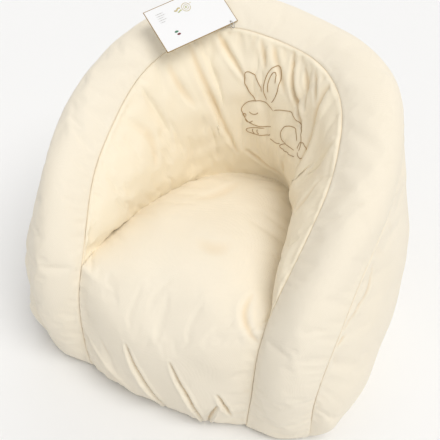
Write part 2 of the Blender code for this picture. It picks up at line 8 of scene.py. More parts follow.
import bpy
import numpy as np
from mathutils import Matrix, Vector
from mathutils.bvhtree import BVHTree


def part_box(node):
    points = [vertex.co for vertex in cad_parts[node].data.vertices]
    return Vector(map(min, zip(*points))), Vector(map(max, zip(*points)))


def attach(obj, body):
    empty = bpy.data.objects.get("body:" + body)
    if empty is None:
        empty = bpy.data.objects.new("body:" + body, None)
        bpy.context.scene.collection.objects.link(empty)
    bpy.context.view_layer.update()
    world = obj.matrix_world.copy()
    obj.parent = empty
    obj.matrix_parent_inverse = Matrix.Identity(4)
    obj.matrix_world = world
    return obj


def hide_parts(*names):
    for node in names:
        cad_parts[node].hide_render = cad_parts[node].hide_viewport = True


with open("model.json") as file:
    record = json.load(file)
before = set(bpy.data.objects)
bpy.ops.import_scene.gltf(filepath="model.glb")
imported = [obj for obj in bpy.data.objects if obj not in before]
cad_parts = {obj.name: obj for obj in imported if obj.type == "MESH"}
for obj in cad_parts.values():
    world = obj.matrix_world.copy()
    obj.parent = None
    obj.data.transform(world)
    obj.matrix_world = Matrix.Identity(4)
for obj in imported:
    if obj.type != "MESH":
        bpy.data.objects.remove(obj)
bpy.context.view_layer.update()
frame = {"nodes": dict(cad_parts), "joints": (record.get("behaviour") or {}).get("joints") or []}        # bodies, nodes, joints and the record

nodes = frame["nodes"]
joints = {joint["name"]: joint for joint in frame["joints"]}


# Shape helpers: curves and grids of points, as numpy arrays

def unit(vectors):
    return vectors / np.maximum(np.linalg.norm(vectors, axis=-1, keepdims=True), 1e-9)


def ramp(values, low, high):     # smooth step from 0 to 1
    share = np.clip((np.asarray(values, float) - low) / (high - low), 0.0, 1.0)
    return share * share * (3.0 - 2.0 * share)


def smoothCurve(points, count):     # natural cubic through the points
    pts = np.array(points, float)
    gaps = np.sqrt(np.linalg.norm(np.diff(pts, axis=0), axis=1))
    knots = np.concatenate([[0.0], np.cumsum(gaps)])
    knots /= knots[-1]
    last = len(pts) - 1
    system, right = np.eye(last + 1), np.zeros_like(pts)
    for i in range(1, last):
        before, after = knots[i] - knots[i - 1], knots[i + 1] - knots[i]
        system[i, i - 1:i + 2] = before, 2.0 * (before + after), after
        right[i] = 6.0 * ((pts[i + 1] - pts[i]) / after - (pts[i] - pts[i - 1]) / before)
    bend = np.linalg.solve(system, right)
    marks = np.linspace(0.0, 1.0, count)
    i = np.clip(np.searchsorted(knots, marks) - 1, 0, last - 1)
    span = (knots[i + 1] - knots[i])[:, None]
    b = (marks[:, None] - knots[i][:, None]) / span
    a = 1.0 - b
    return (a * pts[i] + b * pts[i + 1]
            + ((a ** 3 - a) * bend[i] + (b ** 3 - b) * bend[i + 1]) * span ** 2 / 6.0)


def lengthsAlong(path):
    steps = np.linalg.norm(np.diff(path, axis=0), axis=-1)
    return np.concatenate([np.zeros_like(steps[:1]), np.cumsum(steps, axis=0)])


def spaced(path, steps):     # the same line, read again at even distances
    along = lengthsAlong(path)
    marks = np.linspace(0.0, along[-1], steps + 1)
    return np.stack([np.interp(marks, along, path[:, k]) for k in range(3)], axis=1)


def mirrored(half):     # right half of a seam, then on down the left side
    return np.vstack([half, half[-2::-1] * np.array([-1.0, 1.0, 1.0])])


def readAt(grid, marks):     # rows of a grid at fractional row numbers, on a smooth curve
    last = len(grid) - 1
    i = np.clip(np.floor(marks).astype(int), 0, last - 1)
    f = (marks - i).reshape((-1,) + (1,) * (grid.ndim - 1))
    padded = np.concatenate([2 * grid[:1] - grid[1:2], grid, 2 * grid[-1:] - grid[-2:-1]])
    a, b, c, d = (padded[i + k] for k in range(4))
    return b + 0.5 * f * (c - a + f * (2 * a - 5 * b + 4 * c - d + f * (3 * (b - c) + d - a)))


def normalsOf(grid):
    square = np.cross(np.gradient(grid, axis=0), np.gradient(grid, axis=1))
    lengths = np.linalg.norm(square, axis=2, keepdims=True)
    return np.where(lengths > 1e-10, square / np.maximum(lengths, 1e-10), 0.0)


# The frame's seams, from the same driving sizes as its solids

chair = {
    "footRadius": 0.252, "footCentreY": -0.020, "frontY": -0.200, "apronHalf": 0.126,
    "armFootWidth": 0.089, "armFootSetback": 0.022, "seatHalf": 0.135, "seatCornerY": -0.184,
    "seatHeight": 0.207, "seatFall": 0.023, "seatBackY": 0.118, "crestHalf": 0.235,
    "backSeamY": 0.127, "backSeamHeight": 0.446, "backWidth": 0.108, "backDrop": 0.020,
    "zipSkirt": 0.044,
}
stations = {"low": 36, "side": 60, "rear": 48, "rearShare": 0.62}     # along half a seam
half = stations["low"] + stations["side"] + stations["rear"]


def innerSeam():     # band to lining, and below the seat corner band to apron
    c = chair
    rise, run = c["backSeamHeight"] - c["seatHeight"], c["backSeamY"] - c["seatCornerY"]
    corner = (c["seatHalf"], c["seatCornerY"], c["seatHeight"])
    points = [(c["apronHalf"], c["frontY"], 0.0),
              (0.4 * c["apronHalf"] + 0.6 * c["seatHalf"], c["frontY"] - 0.007, 0.42 * c["seatHeight"]),
              (c["seatHalf"] - 0.002, c["frontY"] - 0.002, 0.74 * c["seatHeight"]), corner]
    for wide, back, up in ((0.012, 0.19, 0.36), (0.019, 0.40, 0.57), (0.009, 0.66, 0.77),
                           (-0.036, 0.885, 0.93), (-0.081, 0.975, 0.985)):
        points.append((c["seatHalf"] + wide, c["seatCornerY"] + back * run, c["seatHeight"] + up * rise))
    points += [(0.0, c["backSeamY"], c["backSeamHeight"]), (-points[-1][0], *points[-1][1:])]
    dense = smoothCurve(points, 400)
    cornerAt = int(np.argmin(np.linalg.norm(dense - np.array(corner), axis=1)))
    middleAt = int(np.argmin(np.abs(dense[:, 0])))
    low = spaced(dense[:cornerAt + 1], stations["low"])
    high = spaced(dense[cornerAt:middleAt + 1], stations["side"] + stations["rear"])
    low[-1] = high[0] = corner
    high[-1, 0] = 0.0
    return np.vstack([low, high[1:]])


def outerSeam():     # band to outer wall
    c = chair
    cornerX, cornerY = c["apronHalf"] + c["armFootWidth"], c["frontY"] + c["armFootSetback"]
    top = (0.0, c["backSeamY"] + c["backWidth"], c["backSeamHeight"] - c["backDrop"])
    rise, run = top[2] - c["seatHeight"], top[1] - cornerY
    points = [(cornerX, cornerY, 0.0), (cornerX + 0.001, cornerY - 0.015, 0.48 * c["seatHeight"]),
              (c["crestHalf"] - 0.014, cornerY - 0.005, 0.94 * c["seatHeight"])]
    for narrow, back, up in ((0.005, 0.14, 0.34), (0.0, 0.31, 0.53), (0.008, 0.49, 0.68),
                             (0.038, 0.68, 0.81), (0.089, 0.84, 0.91), (0.157, 0.956, 0.978)):
        points.append((c["crestHalf"] - narrow, cornerY + back * run, c["seatHeight"] + up * rise))
    points += [top, (-points[-1][0], *points[-1][1:])]
    dense = smoothCurve(points, 400)
    middleAt = int(np.argmin(np.abs(dense[:, 0])))
    lowAt = int(np.argmin(np.abs(dense[:middleAt, 2] - 0.93 * c["seatHeight"])))
    low = spaced(dense[:lowAt + 1], stations["low"])
    high = spaced(dense[lowAt:middleAt + 1], stations["side"] + stations["rear"])
    high[-1, 0] = 0.0
    return np.vstack([low, high[1:]])


def seatSeam():     # round the seat top, front corner to the middle of the back
    c = chair
    run = c["seatBackY"] - c["seatCornerY"]
    points = [(c["seatHalf"] - narrow, c["seatCornerY"] + back * run, 0.0) for narrow, back in (
        (0.0, 0.0), (-0.002, 0.25), (0.009, 0.43), (0.026, 0.62), (0.047, 0.80), (0.078, 0.925),
        (0.107, 0.98))]
    points += [(0.0, c["seatBackY"], 0.0), (-points[-1][0], *points[-1][1:])]
    dense = smoothCurve(points, 400)
    dense = dense[:int(np.argmin(np.abs(dense[:, 0]))) + 1]
    back = np.clip((dense[:, 1] - c["seatCornerY"]) / run, 0.0, 1.0)
    dense[:, 2] = c["seatHeight"] - c["seatFall"] * back
    split = int(stations["rearShare"] * len(dense))
    side, rear = spaced(dense[:split + 1], stations["side"]), spaced(dense[split:], stations["rear"])
    rear[-1, 0] = 0.0
    return np.vstack([side, rear[1:]])


def footOutline():     # foot of the outer wall, a bolster end's corner to the middle of the back
    c = chair
    cornerX = c["apronHalf"] + c["armFootWidth"]
    cornerY = c["frontY"] + c["armFootSetback"] - c["footCentreY"]
    start = math.atan2(cornerY, cornerX)
    angle = start + (math.pi / 2 - start) * np.linspace(0.0, 1.0, half + 1) ** 1.25
    extra = math.hypot(cornerX, cornerY) - c["footRadius"]
    radius = c["footRadius"] + extra * np.maximum(0.0, angle / start) ** 2
    foot = np.stack([radius * np.cos(angle), c["footCentreY"] + radius * np.sin(angle), 0 * angle], axis=1)
    foot[-1, 0] = 0.0
    return foot


# Covers, as grids of points that share their seams

crowns = {     # how far each filled panel stands proud of its seams, and how full its edges are
    "band": 0.036, "bandFoot": 0.010, "bandFull": 0.80,
    "wall": 0.024, "wallFull": 1.0,
    "lining": 0.024, "liningFull": 0.75,
    "seat": 0.026, "apron": 0.030,
}
rowCounts = {"band": 26, "wall": 62, "skirt": 8, "lining": 40}


def between(first, second, rows, crown, outward, full):
    steps = np.linspace(0.0, 1.0, rows + 1)[:, None, None]
    proud = np.sin(np.pi * steps).clip(0.0, 1.0) ** full * np.asarray(crown)[None, :, None]
    return first * (1.0 - steps) + second * steps + proud * outward


def outwardOf(first, second, towards):
    run = unit(np.gradient(first + second, axis=0))
    square = unit(np.cross(run, second - first))
    side = np.sign(np.sum(square * towards, axis=1, keepdims=True))
    return square * np.where(side == 0.0, 1.0, side)


def bandGrid(inner, outer):
    middle = (inner + outer) / 2.0
    towards = unit(middle - np.array([0.0, 0.05, 0.10]))
    rise = ramp(middle[:, 2], -0.04, 0.28)
    crown = crowns["bandFoot"] + (crowns["band"] - crowns["bandFoot"]) * rise
    return between(inner, outer, rowCounts["band"], crown, outwardOf(inner, outer, towards),
                   crowns["bandFull"])


def wallGrid(outer, foot):     # ends in an upright skirt round the foot, where the zip lies
    towards = foot - np.array([0.0, chair["footCentreY"], 0.0])
    behind = ramp(np.degrees(np.arctan2(towards[:, 1], np.abs(foot[:, 0]))), -36.0, 5.0)
    top = foot + np.stack([0.0 * behind, 0.0 * behind, chair["zipSkirt"] * behind], axis=1)
    crown = crowns["wall"] * ramp(np.linalg.norm(outer - foot, axis=1), 0.0, 0.12)
    flat = unit(towards * np.array([1.0, 1.0, 0.0]))
    upper = between(outer, top, rowCounts["wall"], crown, flat, crowns["wallFull"])
    down = np.linspace(0.0, 1.0, rowCounts["skirt"] + 1)[1:, None, None]
    return np.concatenate([upper, top * (1.0 - down) + foot * down])


def liningGrid(inner, seat):
    towards = np.array([0.0, -0.03, 0.30]) - (inner + seat) / 2.0
    crown = crowns["lining"] * ramp(np.linalg.norm(inner - seat, axis=1), 0.0, 0.12)
    return between(seat, inner, rowCounts["lining"], crown, outwardOf(seat, inner, towards),
                   crowns["liningFull"])


def seatGrid(innerLow, seat):     # apron and seat top in one cloth, from the hem up and back
    c = chair
    side = np.vstack([innerLow, seat[1:stations["side"] + 1]])
    rear = seat[stations["side"]:]
    back = rear[-1]
    front, high, proud = c["frontY"], c["seatHeight"], crowns["apron"]
    middle = [(0.0, front - 0.5 * proud, 0.0), (0.0, front - proud, 0.32 * high),
              (0.0, front - proud, 0.66 * high), (0.0, front - 0.45 * proud, 0.93 * high),
              (0.0, front + 0.040, high + 0.5 * crowns["seat"] + 0.003),
              (0.0, front + 0.115, high + 0.8 * crowns["seat"]),
              (0.0, front + 0.215, high - 0.5 * c["seatFall"] + 0.7 * crowns["seat"]),
              (0.0, 0.25 * front + 0.75 * back[1] + 0.055, back[2] + 0.012), tuple(back)]
    profile = spaced(smoothCurve(middle, 400), len(side) - 1)[:, None]
    share = np.linspace(1.0, -1.0, 2 * stations["rear"] + 1)[None, :, None]
    full = 1.0 - np.abs(share) ** 2.6
    grid = side[:, None] * (1.0 - full) + profile * full
    grid[..., 0] = side[:, None, 0] * share[..., 0]
    late = ramp(np.linspace(0.0, 1.0, len(side)), 0.45, 1.0)[:, None, None]
    return grid + late * (mirrored(rear)[None] - grid[-1:])


def coverGrids():
    innerHalf, outerHalf, footHalf, seat = innerSeam(), outerSeam(), footOutline(), seatSeam()
    inner, outer, foot = mirrored(innerHalf), mirrored(outerHalf), mirrored(footHalf)
    low = stations["low"]
    return {
        "band": bandGrid(inner, outer),
        "wall": wallGrid(outer, foot),
        "lining": liningGrid(mirrored(innerHalf[low:]), mirrored(seat)),
        "seat": seatGrid(innerHalf[:low + 1], seat),
    }


covers = coverGrids()
print("covers laid out:", {name: grid.shape[:2] for name, grid in covers.items()})


# Cloth and stuffing: every cover is blown up against its seams for a short simulation

stuffing = {"frames": 20, "pressure": 4.0, "cap": 0.009, "slack": 0.014, "tension": 12.0,
            "shear": 5.0, "bending": 1.0, "mass": 0.25, "pinReach": 0.0015,
            "share": {"band": 0.8, "wall": 0.8, "lining": 1.0, "seat": 0.8}, "flatFoot": (0.040, 0.085)}


def joinGrids(grids):     # one mesh over several grids, with their shared seams welded
    points = np.concatenate([grid.reshape(-1, 3) for grid in grids])
    faces, start = [], 0
    for grid in grids:
        rows, columns = grid.shape[:2]
        i, j = np.meshgrid(np.arange(rows - 1), np.arange(columns - 1), indexing="ij")
        corner = start + (i * columns + j).ravel()
        faces.append(np.stack([corner, corner + columns, corner + columns + 1, corner + 1], axis=1))
        start += rows * columns
    keys = np.round(points / 2e-5).astype(np.int64)
    first, place = np.unique(keys, axis=0, return_index=True, return_inverse=True)[1:]
    place = place.ravel()
    faces = place[np.concatenate(faces)]
    return points[first], faces, place


def meshFrom(name, points, faces):     # drops doubled corners, so thin ends close as triangles
    rings = []
    for face in faces:
        ring = [v for k, v in enumerate(face) if v != face[k - 1]]
        if len(ring) > 2:
            rings.append(ring)
    mesh = bpy.data.meshes.new(name)
    mesh.from_pydata(points.tolist(), [], rings)
    mesh.update()
    return mesh


def newObject(name, data):
    made = bpy.data.objects.new(name, data)
    bpy.context.scene.collection.objects.link(made)
    return made


def edgeDistance(grid):     # of each point from the nearest edge of its own panel
    down = lengthsAlong(grid)
    across = np.moveaxis(lengthsAlong(np.moveaxis(grid, 1, 0)), 0, 1)
    return np.minimum.reduce([down, down[-1] - down, across, across[:, -1:] - across])


def stuffed(grids):
    names = sorted(grids)
    points, faces, place = joinGrids([grids[name] for name in names])
    cloth = newObject("stuffing", meshFrom("stuffing", points, faces))
    gap = np.concatenate([edgeDistance(grids[name]).ravel() for name in names])
    nearest = np.full(len(points), 9.0)     # metres, further than any edge
    np.minimum.at(nearest, place, gap)
    pinned = cloth.vertex_groups.new(name="seams")
    pinned.add([int(k) for k in np.flatnonzero(nearest < stuffing["pinReach"])], 1.0, "REPLACE")
    blow = cloth.modifiers.new("blow", "CLOTH")
    setting = blow.settings
    setting.quality = 5
    setting.mass = stuffing["mass"]
    setting.tension_stiffness = setting.compression_stiffness = stuffing["tension"]
    setting.shear_stiffness = stuffing["shear"]
    setting.bending_stiffness = stuffing["bending"]
    setting.use_pressure = True
    setting.uniform_pressure_force = stuffing["pressure"]
    setting.shrink_min = -stuffing["slack"]
    setting.effector_weights.gravity = 0.0
    setting.vertex_group_mass = "seams"
    blow.collision_settings.use_collision = False
    blow.point_cache.frame_end = stuffing["frames"] + 2
    scene = bpy.context.scene
    for number in range(1, stuffing["frames"] + 1):
        scene.frame_set(number)
    view = cloth.evaluated_get(bpy.context.evaluated_depsgraph_get())
    blown = np.zeros(len(points) * 3)
    view.data.vertices.foreach_get("co", blown)
    scene.frame_set(1)
    shift = blown.reshape(-1, 3) - points
    size = np.linalg.norm(shift, axis=1, keepdims=True)
    print("stuffing moved the covers by up to %.1f mm" % (1000 * size.max()))
    shift *= stuffing["cap"] / np.maximum(size, 1e-9) * np.tanh(size / stuffing["cap"])
    bpy.data.objects.remove(cloth, do_unlink=True)
    made, start = {}, 0
    for name in names:
        rows, columns = grids[name].shape[:2]
        part = place[start:start + rows * columns]
        share = stuffing["share"][name]
        if name == "wall":     # the skirt stays flat behind the zip
            share = share * ramp(grids[name][..., 2:], *stuffing["flatFoot"])
        made[name] = grids[name] + share * shift[part].reshape(rows, columns, 3)
        start += rows * columns
    return made


covers = stuffed(covers)


# Where the real chair has settled out of true: soft pushes on every cover alike

settled = [     # middle, reach, shift
    ((0.062, 0.100, 0.195), 0.050, (0.006, 0.010, 0.008)),     # the seat's right rear corner sits square
    ((0.050, 0.200, 0.460), 0.105, (0.0, -0.010, -0.021)),     # the crest sinks to the right
    ((0.185, 0.110, 0.400), 0.070, (0.006, 0.004, 0.004)),     # and its shoulder stands out
    ((0.108, -0.010, 0.315), 0.060, (0.007, 0.0, 0.0)),        # the right arm is slimmer inside
    ((0.118, -0.100, 0.265), 0.050, (0.007, 0.0, 0.0)),
    ((0.092, 0.045, 0.340), 0.048, (0.014, 0.005, 0.0)),
]


def settle(points):
    for middle, reach, shift in settled:
        near = np.exp(-np.sum(((points - np.array(middle)) / reach) ** 2, axis=-1, keepdims=True))
        points = points + near * np.array(shift)
    return points


covers = {name: settle(grid) for name, grid in covers.items()}


# Fine surface: rows crowd beside the seams, then puckers, folds and lumps are laid on

beside = (0.0, 0.0007, 0.0014, 0.0022, 0.0032, 0.0044, 0.0060, 0.0080, 0.0105)     # rows off a seam
# the seam entries also paint a thin line of shade along the groove of every seam
seams = {"lip": 0.0010, "steep": 0.0009, "ridge": 0.0010, "ridgeAt": 0.0046, "ridgeWide": 0.0020,
         "seamShade": 0.42, "seamShadeWide": 0.0010}


def fineMarks(along, pitch, firstSeam, lastSeam):     # fractional row numbers
    first = np.array(beside if firstSeam else beside[:1])
    last = along[-1] - np.array(beside if lastSeam else beside[:1])[::-1]
    count = max(2, int(round((last[0] - first[-1]) / pitch)))
    spots = np.concatenate([first, np.linspace(first[-1], last[0], count + 1)[1:-1], last])
    return np.interp(spots, along, np.arange(len(along)))


def fineGrid(grid, pitch, rowSeams, columnSeams):
    down = lengthsAlong(grid).mean(axis=1)
    grid = readAt(grid, fineMarks(down, pitch, *rowSeams))
    turned = np.moveaxis(grid, 1, 0)
    along = lengthsAlong(turned).max(axis=1)
    turned = readAt(turned, fineMarks(along, pitch, *columnSeams))
    return np.moveaxis(turned, 0, 1)


def ripples(points, wave, seed):     # smooth noise about 1 high, from a dozen plain waves
    draw = np.random.default_rng(seed)
    total = np.zeros(points.shape[:-1])
    for k in range(14):
        way = unit(draw.normal(size=3)) * 2.0 * math.pi / (wave * draw.uniform(0.7, 1.5))
        total += np.sin(points @ way + draw.uniform(0.0, 2.0 * math.pi))
    return total / math.sqrt(7.0)


def edgeMeasures(grid, edge):     # (along the edge, away from it) for every point
    if edge in ("right", "left"):
        grid = np.moveaxis(grid, 1, 0)
    down = lengthsAlong(grid)
    rows = (0, down) if edge in ("first", "right") else (-1, down[-1] - down)
    along = np.broadcast_to(lengthsAlong(grid[rows[0]])[None], down.shape)
    found = along, rows[1]
    return tuple(np.moveaxis(part, 1, 0) for part in found) if edge in ("right", "left") else found


farOff = 9.0     # further than any real distance here


def puckers(grid, row):     # many small folds that run off one seam, at uneven steps
    along, away = edgeMeasures(grid, row["edge"])
    draw = np.random.default_rng(row["seed"])
    total, spot = np.zeros(along.shape), along.min()
    reach = along.max()
    while spot < reach:
        share = spot / reach
        strength = np.interp(share, *zip(*row["strength"]))
        long = draw.uniform(*row["long"]) * (0.5 + 0.5 * strength)
        deep = draw.uniform(*row["deep"]) * strength
        wide = draw.uniform(*row["wide"])
        lean = draw.normal(0.0, row["lean"])
        near = np.abs(along - spot) < 4.0 * wide + abs(lean) * long + 0.02
        if deep > 1e-5:
            q = np.clip(away / long, 0.0, 1.0)
            spread = wide * (0.7 + 0.9 * q)
            x = np.where(near, (along - spot - lean * away * (1.0 + 0.6 * q)) / spread, farOff)
            shape = np.exp(-x * x) - 0.42 * np.exp(-((np.abs(x) - 1.7) / 0.9) ** 2)
            total -= deep * shape * q ** 0.55 * (1.0 - q) ** 1.4 * 2.0
        spot += row["every"] * draw.uniform(0.45, 1.6)
    return total


lineSteps = 48


def creases(grid, folds):     # longer folds, each along its own line of (across, up) shares
    down, across = lengthsAlong(grid), np.moveaxis(lengthsAlong(np.moveaxis(grid, 1, 0)), 0, 1)
    tall, broad = down[-1].max(), across[:, -1].max()
    down = down / np.maximum(down[-1:], 1e-9) * tall
    across = across / np.maximum(across[:, -1:], 1e-9) * broad
    total = np.zeros(down.shape)
    for row in folds:
        line = smoothCurve([(u * broad, v * tall, 0.0) for u, v in row["line"]], lineSteps)[:, :2]
        ways = unit(np.gradient(line, axis=0))
        best, side, place = np.full(down.shape, farOff), np.zeros(down.shape), np.zeros(down.shape)
        for k, (spot, way) in enumerate(zip(line, ways)):
            x, y = across - spot[0], down - spot[1]
            gap = np.hypot(x, y)
            nearer = gap < best
            best[nearer], place[nearer] = gap[nearer], k / (lineSteps - 1.0)
            side[nearer] = (way[0] * y - way[1] * x)[nearer]
        fade = np.sin(np.pi * np.clip(place * 0.94 + 0.03, 0.0, 1.0)) ** 0.6
        x = best / (row["wide"] * (0.6 + 0.5 * fade))
        total -= row["deep"] * fade * (np.exp(-x * x) - 0.45 * np.exp(-((x - 1.9) / 0.9) ** 2))
        if row["lip"]:     # the cloth on one side stands over the line
            over = side * np.sign(row["lip"])
            rise = np.where(over > 0.0, np.exp(-(best / row["lipWide"]) ** 2), -0.35 * np.exp(-x * x / 4.0))
            total += abs(row["lip"]) * fade * rise * ramp(best, 0.0, 0.0022)
    return total


def fold(line, deep, wide, lip=0.0, lipWide=10.0):     # millimetres; the line in shares of its cover
    spans = {"deep": deep, "wide": wide, "lip": lip, "lipWide": lipWide}
    return {"line": line, **{name: span / 1000 for name, span in spans.items()}}


def gathers(edge, seed, every, long, deep, wide, lean, strength):     # millimetres
    made = {"edge": edge, "seed": seed, "every": every / 1000, "lean": lean, "strength": strength}
    for name, span in (("long", long), ("deep", deep), ("wide", wide)):
        made[name] = (span[0] / 1000, span[1] / 1000)
    return made


finish = {     # for each cover: fineness, seams, lumps, puckers and long folds
    "band": {
        "pitch": 0.0036, "rowSeams": (True, True), "columnSeams": (False, False), "ridge": 0.55,
        "lumps": ((0.130, 0.0009), (0.050, 0.0002)),
        "puckers": [
            gathers("first", 11, 22.0, (10.0, 26.0), (0.1, 0.6), (3.0, 6.0), 0.15,
                    ((0.0, 0.5), (0.35, 0.5), (0.5, 1.0), (1.0, 0.5))),
            gathers("last", 12, 24.0, (10.0, 26.0), (0.1, 0.5), (3.0, 6.0), 0.15,
                    ((0.0, 0.8), (0.5, 0.6), (1.0, 0.8))),
        ],
        "creases": [],
    },
    "wall": {
        "pitch": 0.0042, "rowSeams": (True, False), "columnSeams": (False, False), "ridge": 0.35,
        "lumps": ((0.120, 0.0014), (0.050, 0.0004)),
        "puckers": [
            gathers("first", 21, 22.0, (12.0, 34.0), (0.3, 1.0), (4.0, 7.0), 0.18,
                    ((0.0, 1.0), (0.5, 0.7), (1.0, 1.0))),
        ],
        "creases": [
            fold(((0.205, 0.03), (0.188, 0.075), (0.168, 0.052), (0.148, 0.012)), 2.4, 4.5, 1.0, 10.0),
            fold(((0.145, 0.045), (0.138, 0.02), (0.132, 0.004)), 3.0, 3.5),
            fold(((0.86, 0.06), (0.838, 0.11), (0.812, 0.13)), 1.8, 6.0),
        ],
    },
    "lining": {
        "pitch": 0.0026, "rowSeams": (True, True), "columnSeams": (False, False), "ridge": 1.0,
        "lumps": ((0.090, 0.0010), (0.034, 0.0004)),
        "puckers": [
            gathers("last", 31, 15.5, (16.0, 60.0), (0.6, 2.4), (2.8, 5.8), 0.22,
                    ((0.0, 0.0), (0.32, 0.1), (0.42, 0.7), (0.58, 0.6), (0.66, 0.25), (1.0, 0.0))),
            gathers("first", 32, 21.0, (12.0, 34.0), (0.3, 1.2), (3.5, 7.0), 0.25,
                    ((0.0, 0.0), (0.15, 0.5), (0.5, 1.0), (0.85, 0.5), (1.0, 0.0))),
        ],
        "creases": [
            fold(((0.371, 0.95), (0.368, 0.82), (0.356, 0.66), (0.338, 0.45), (0.33, 0.15)),
                 3.0, 7.5, -8.5, 34.0),
            fold(((0.452, 0.985), (0.438, 0.8), (0.415, 0.7), (0.392, 0.62)), 5.2, 3.8, -2.6, 12.0),
            fold(((0.43, 0.95), (0.414, 0.85), (0.404, 0.75)), 3.0, 3.6),
            fold(((0.407, 0.96), (0.394, 0.9), (0.382, 0.84)), 3.2, 3.6, -1.2, 8.0),
            fold(((0.487, 0.97), (0.47, 0.87), (0.454, 0.76)), 2.8, 4.0),
            fold(((0.505, 0.97), (0.497, 0.9), (0.492, 0.84)), 2.6, 4.0),
            fold(((0.574, 0.975), (0.556, 0.87), (0.527, 0.75)), 4.0, 4.4, 1.4, 10.0),
            fold(((0.62, 0.97), (0.61, 0.8), (0.578, 0.5), (0.54, 0.24)), 3.4, 6.0, 1.2, 16.0),
            fold(((0.522, 0.26), (0.486, 0.17), (0.44, 0.09)), 3.0, 4.6, 1.0, 12.0),
            fold(((0.66, 0.93), (0.652, 0.8), (0.63, 0.64)), 2.2, 6.0),
            fold(((0.42, 0.3), (0.405, 0.16), (0.385, 0.05)), 2.8, 5.0),
            fold(((0.76, 0.86), (0.742, 0.66), (0.748, 0.46)), 1.6, 9.0),
            fold(((0.24, 0.86), (0.225, 0.72), (0.22, 0.55)), 2.0, 6.0),
        ],
    },
    "seat": {
        "pitch": 0.0026, "rowSeams": (True, True), "columnSeams": (True, True), "ridge": 0.45,
        "lumps": ((0.110, 0.0012), (0.045, 0.0003)),
        "puckers": [
            gathers("first", 41, 19.0, (30.0, 75.0), (0.6, 2.2), (3.6, 7.5), 0.2,
                    ((0.0, 0.5), (0.5, 1.0), (1.0, 0.8))),
            gathers("last", 42, 22.0, (12.0, 34.0), (0.3, 1.2), (4.0, 7.0), 0.25,
                    ((0.0, 0.5), (0.5, 1.0), (1.0, 0.5))),
            gathers("right", 43, 26.0, (10.0, 30.0), (0.2, 0.9), (4.0, 7.0), 0.25,
                    ((0.0, 1.0), (0.4, 0.7), (1.0, 0.8))),
            gathers("left", 44, 26.0, (10.0, 30.0), (0.2, 0.9), (4.0, 7.0), 0.25,
                    ((0.0, 1.0), (0.4, 0.7), (1.0, 0.8))),
        ],
        "creases": [
            fold(((0.36, 0.62), (0.42, 0.59), (0.5, 0.6)), 1.4, 13.0),
            fold(((0.55, 0.9), (0.6, 0.82), (0.7, 0.78)), 1.2, 11.0),
            fold(((0.15, 0.53), (0.14, 0.47), (0.075, 0.44), (0.025, 0.425)), 2.6, 5.5, 1.2, 10.0),
            fold(((0.985, 0.23), (0.9, 0.185), (0.8, 0.138), (0.7, 0.08), (0.62, -0.02)),
                 7.5, 2.8, -5.0, 20.0),
            fold(((0.83, 0.24), (0.79, 0.19), (0.73, 0.125)), 1.6, 5.0),
            fold(((0.66, 0.268), (0.605, 0.2), (0.525, 0.115), (0.43, -0.02)), 8.0, 2.7, 4.2, 26.0),
            fold(((0.415, 0.26), (0.36, 0.192), (0.285, 0.112), (0.2, -0.02)), 7.0, 2.6, 2.6, 22.0),
            fold(((0.215, 0.02), (0.192, 0.09), (0.16, 0.15)), 6.0, 2.6, 2.6, 10.0),
            fold(((0.175, 0.19), (0.138, 0.152), (0.09, 0.098)), 5.0, 2.6, 2.0, 9.0),
        ],
    },
}
tuck = {"height": (0.010, 0.018), "inward": (0.004, 0.013), "front": (0.05, 0.15)}     # at the zip, the hem
wander = {"wave": 0.16, "size": 0.0009, "from": (0.045, 0.090)}     # seams are not quite true
# surface also holds the fold depth at which the painted crease shade is full
surface = {"flatFoot": (0.045, 0.080), "firstInside": 0.016, "foldsFrom": 0.35, "unevenWave": 0.06,
           "fullShadeDepth": 0.003, "lumpSeed": 7, "wanderSeed": 70, "ridgeSeed": 90}


def dressed(name, grid):     # (points, painted shade share from the fold depth and the seam line) of one cover
    rule = finish[name]
    grid = fineGrid(grid, rule["pitch"], rule["rowSeams"], rule["columnSeams"])
    clear = ramp(grid[..., 2], *surface["flatFoot"]) if name == "wall" else 1.0     # the zip lies flat here
    away = edgeMeasures(grid, "first")[1]
    if name == "seat":
        away = edgeDistance(grid)
    elif name != "wall":
        away = np.minimum(away, edgeMeasures(grid, "last")[1])
    inside = ramp(away, 0.0, surface["firstInside"]) * clear
    lumps = sum(size * inside * ripples(grid, wave, surface["lumpSeed"] + k)
                for k, (wave, size) in enumerate(rule["lumps"]))
    folded = sum(puckers(grid, row) for row in rule["puckers"]) + creases(grid, rule["creases"])
    folded = folded * ramp(inside, 0.0, surface["foldsFrom"])
    uneven = 0.75 + 0.25 * ripples(grid, surface["unevenWave"], surface["ridgeSeed"])
    beyond = (away - seams["ridgeAt"]) / seams["ridgeWide"]
    ridge = rule["ridge"] * seams["ridge"] * uneven * np.exp(-beyond ** 2)
    rolled = clear * (seams["lip"] * (1.0 - np.exp(-(away / seams["steep"]) ** 2)) + ridge)
    points = grid + normalsOf(grid) * (lumps + folded + rolled)[..., None]
    wavy = np.stack([ripples(grid, wander["wave"], surface["wanderSeed"] + k) for k in range(3)], axis=-1)
    points = points + wander["size"] * wavy * ramp(grid[..., 2:], *wander["from"])
    front = ramp(-grid[..., 1:2], *tuck["front"])
    tall, inward = (first + (second - first) * front for first, second in (tuck["height"], tuck["inward"]))
    outward = unit(grid * np.array([1.0, 1.0, 0.0]))
    points = points - outward * inward * np.clip(1.0 - points[..., 2:] / tall, 0.0, 1.0) ** 2
    points[..., 2] = np.maximum(points[..., 2], 0.0)
    # painted shade: fold valleys and the groove along each seam are darkened in colour, through the fold
    # attribute
    seamShade = clear * np.exp(-(away / seams["seamShadeWide"]) ** 2)
    return points, np.clip(-folded / surface["fullShadeDepth"] + seams["seamShade"] * seamShade, -1.0, 1.0)


# Materials: every finish is built from nodes, in object space

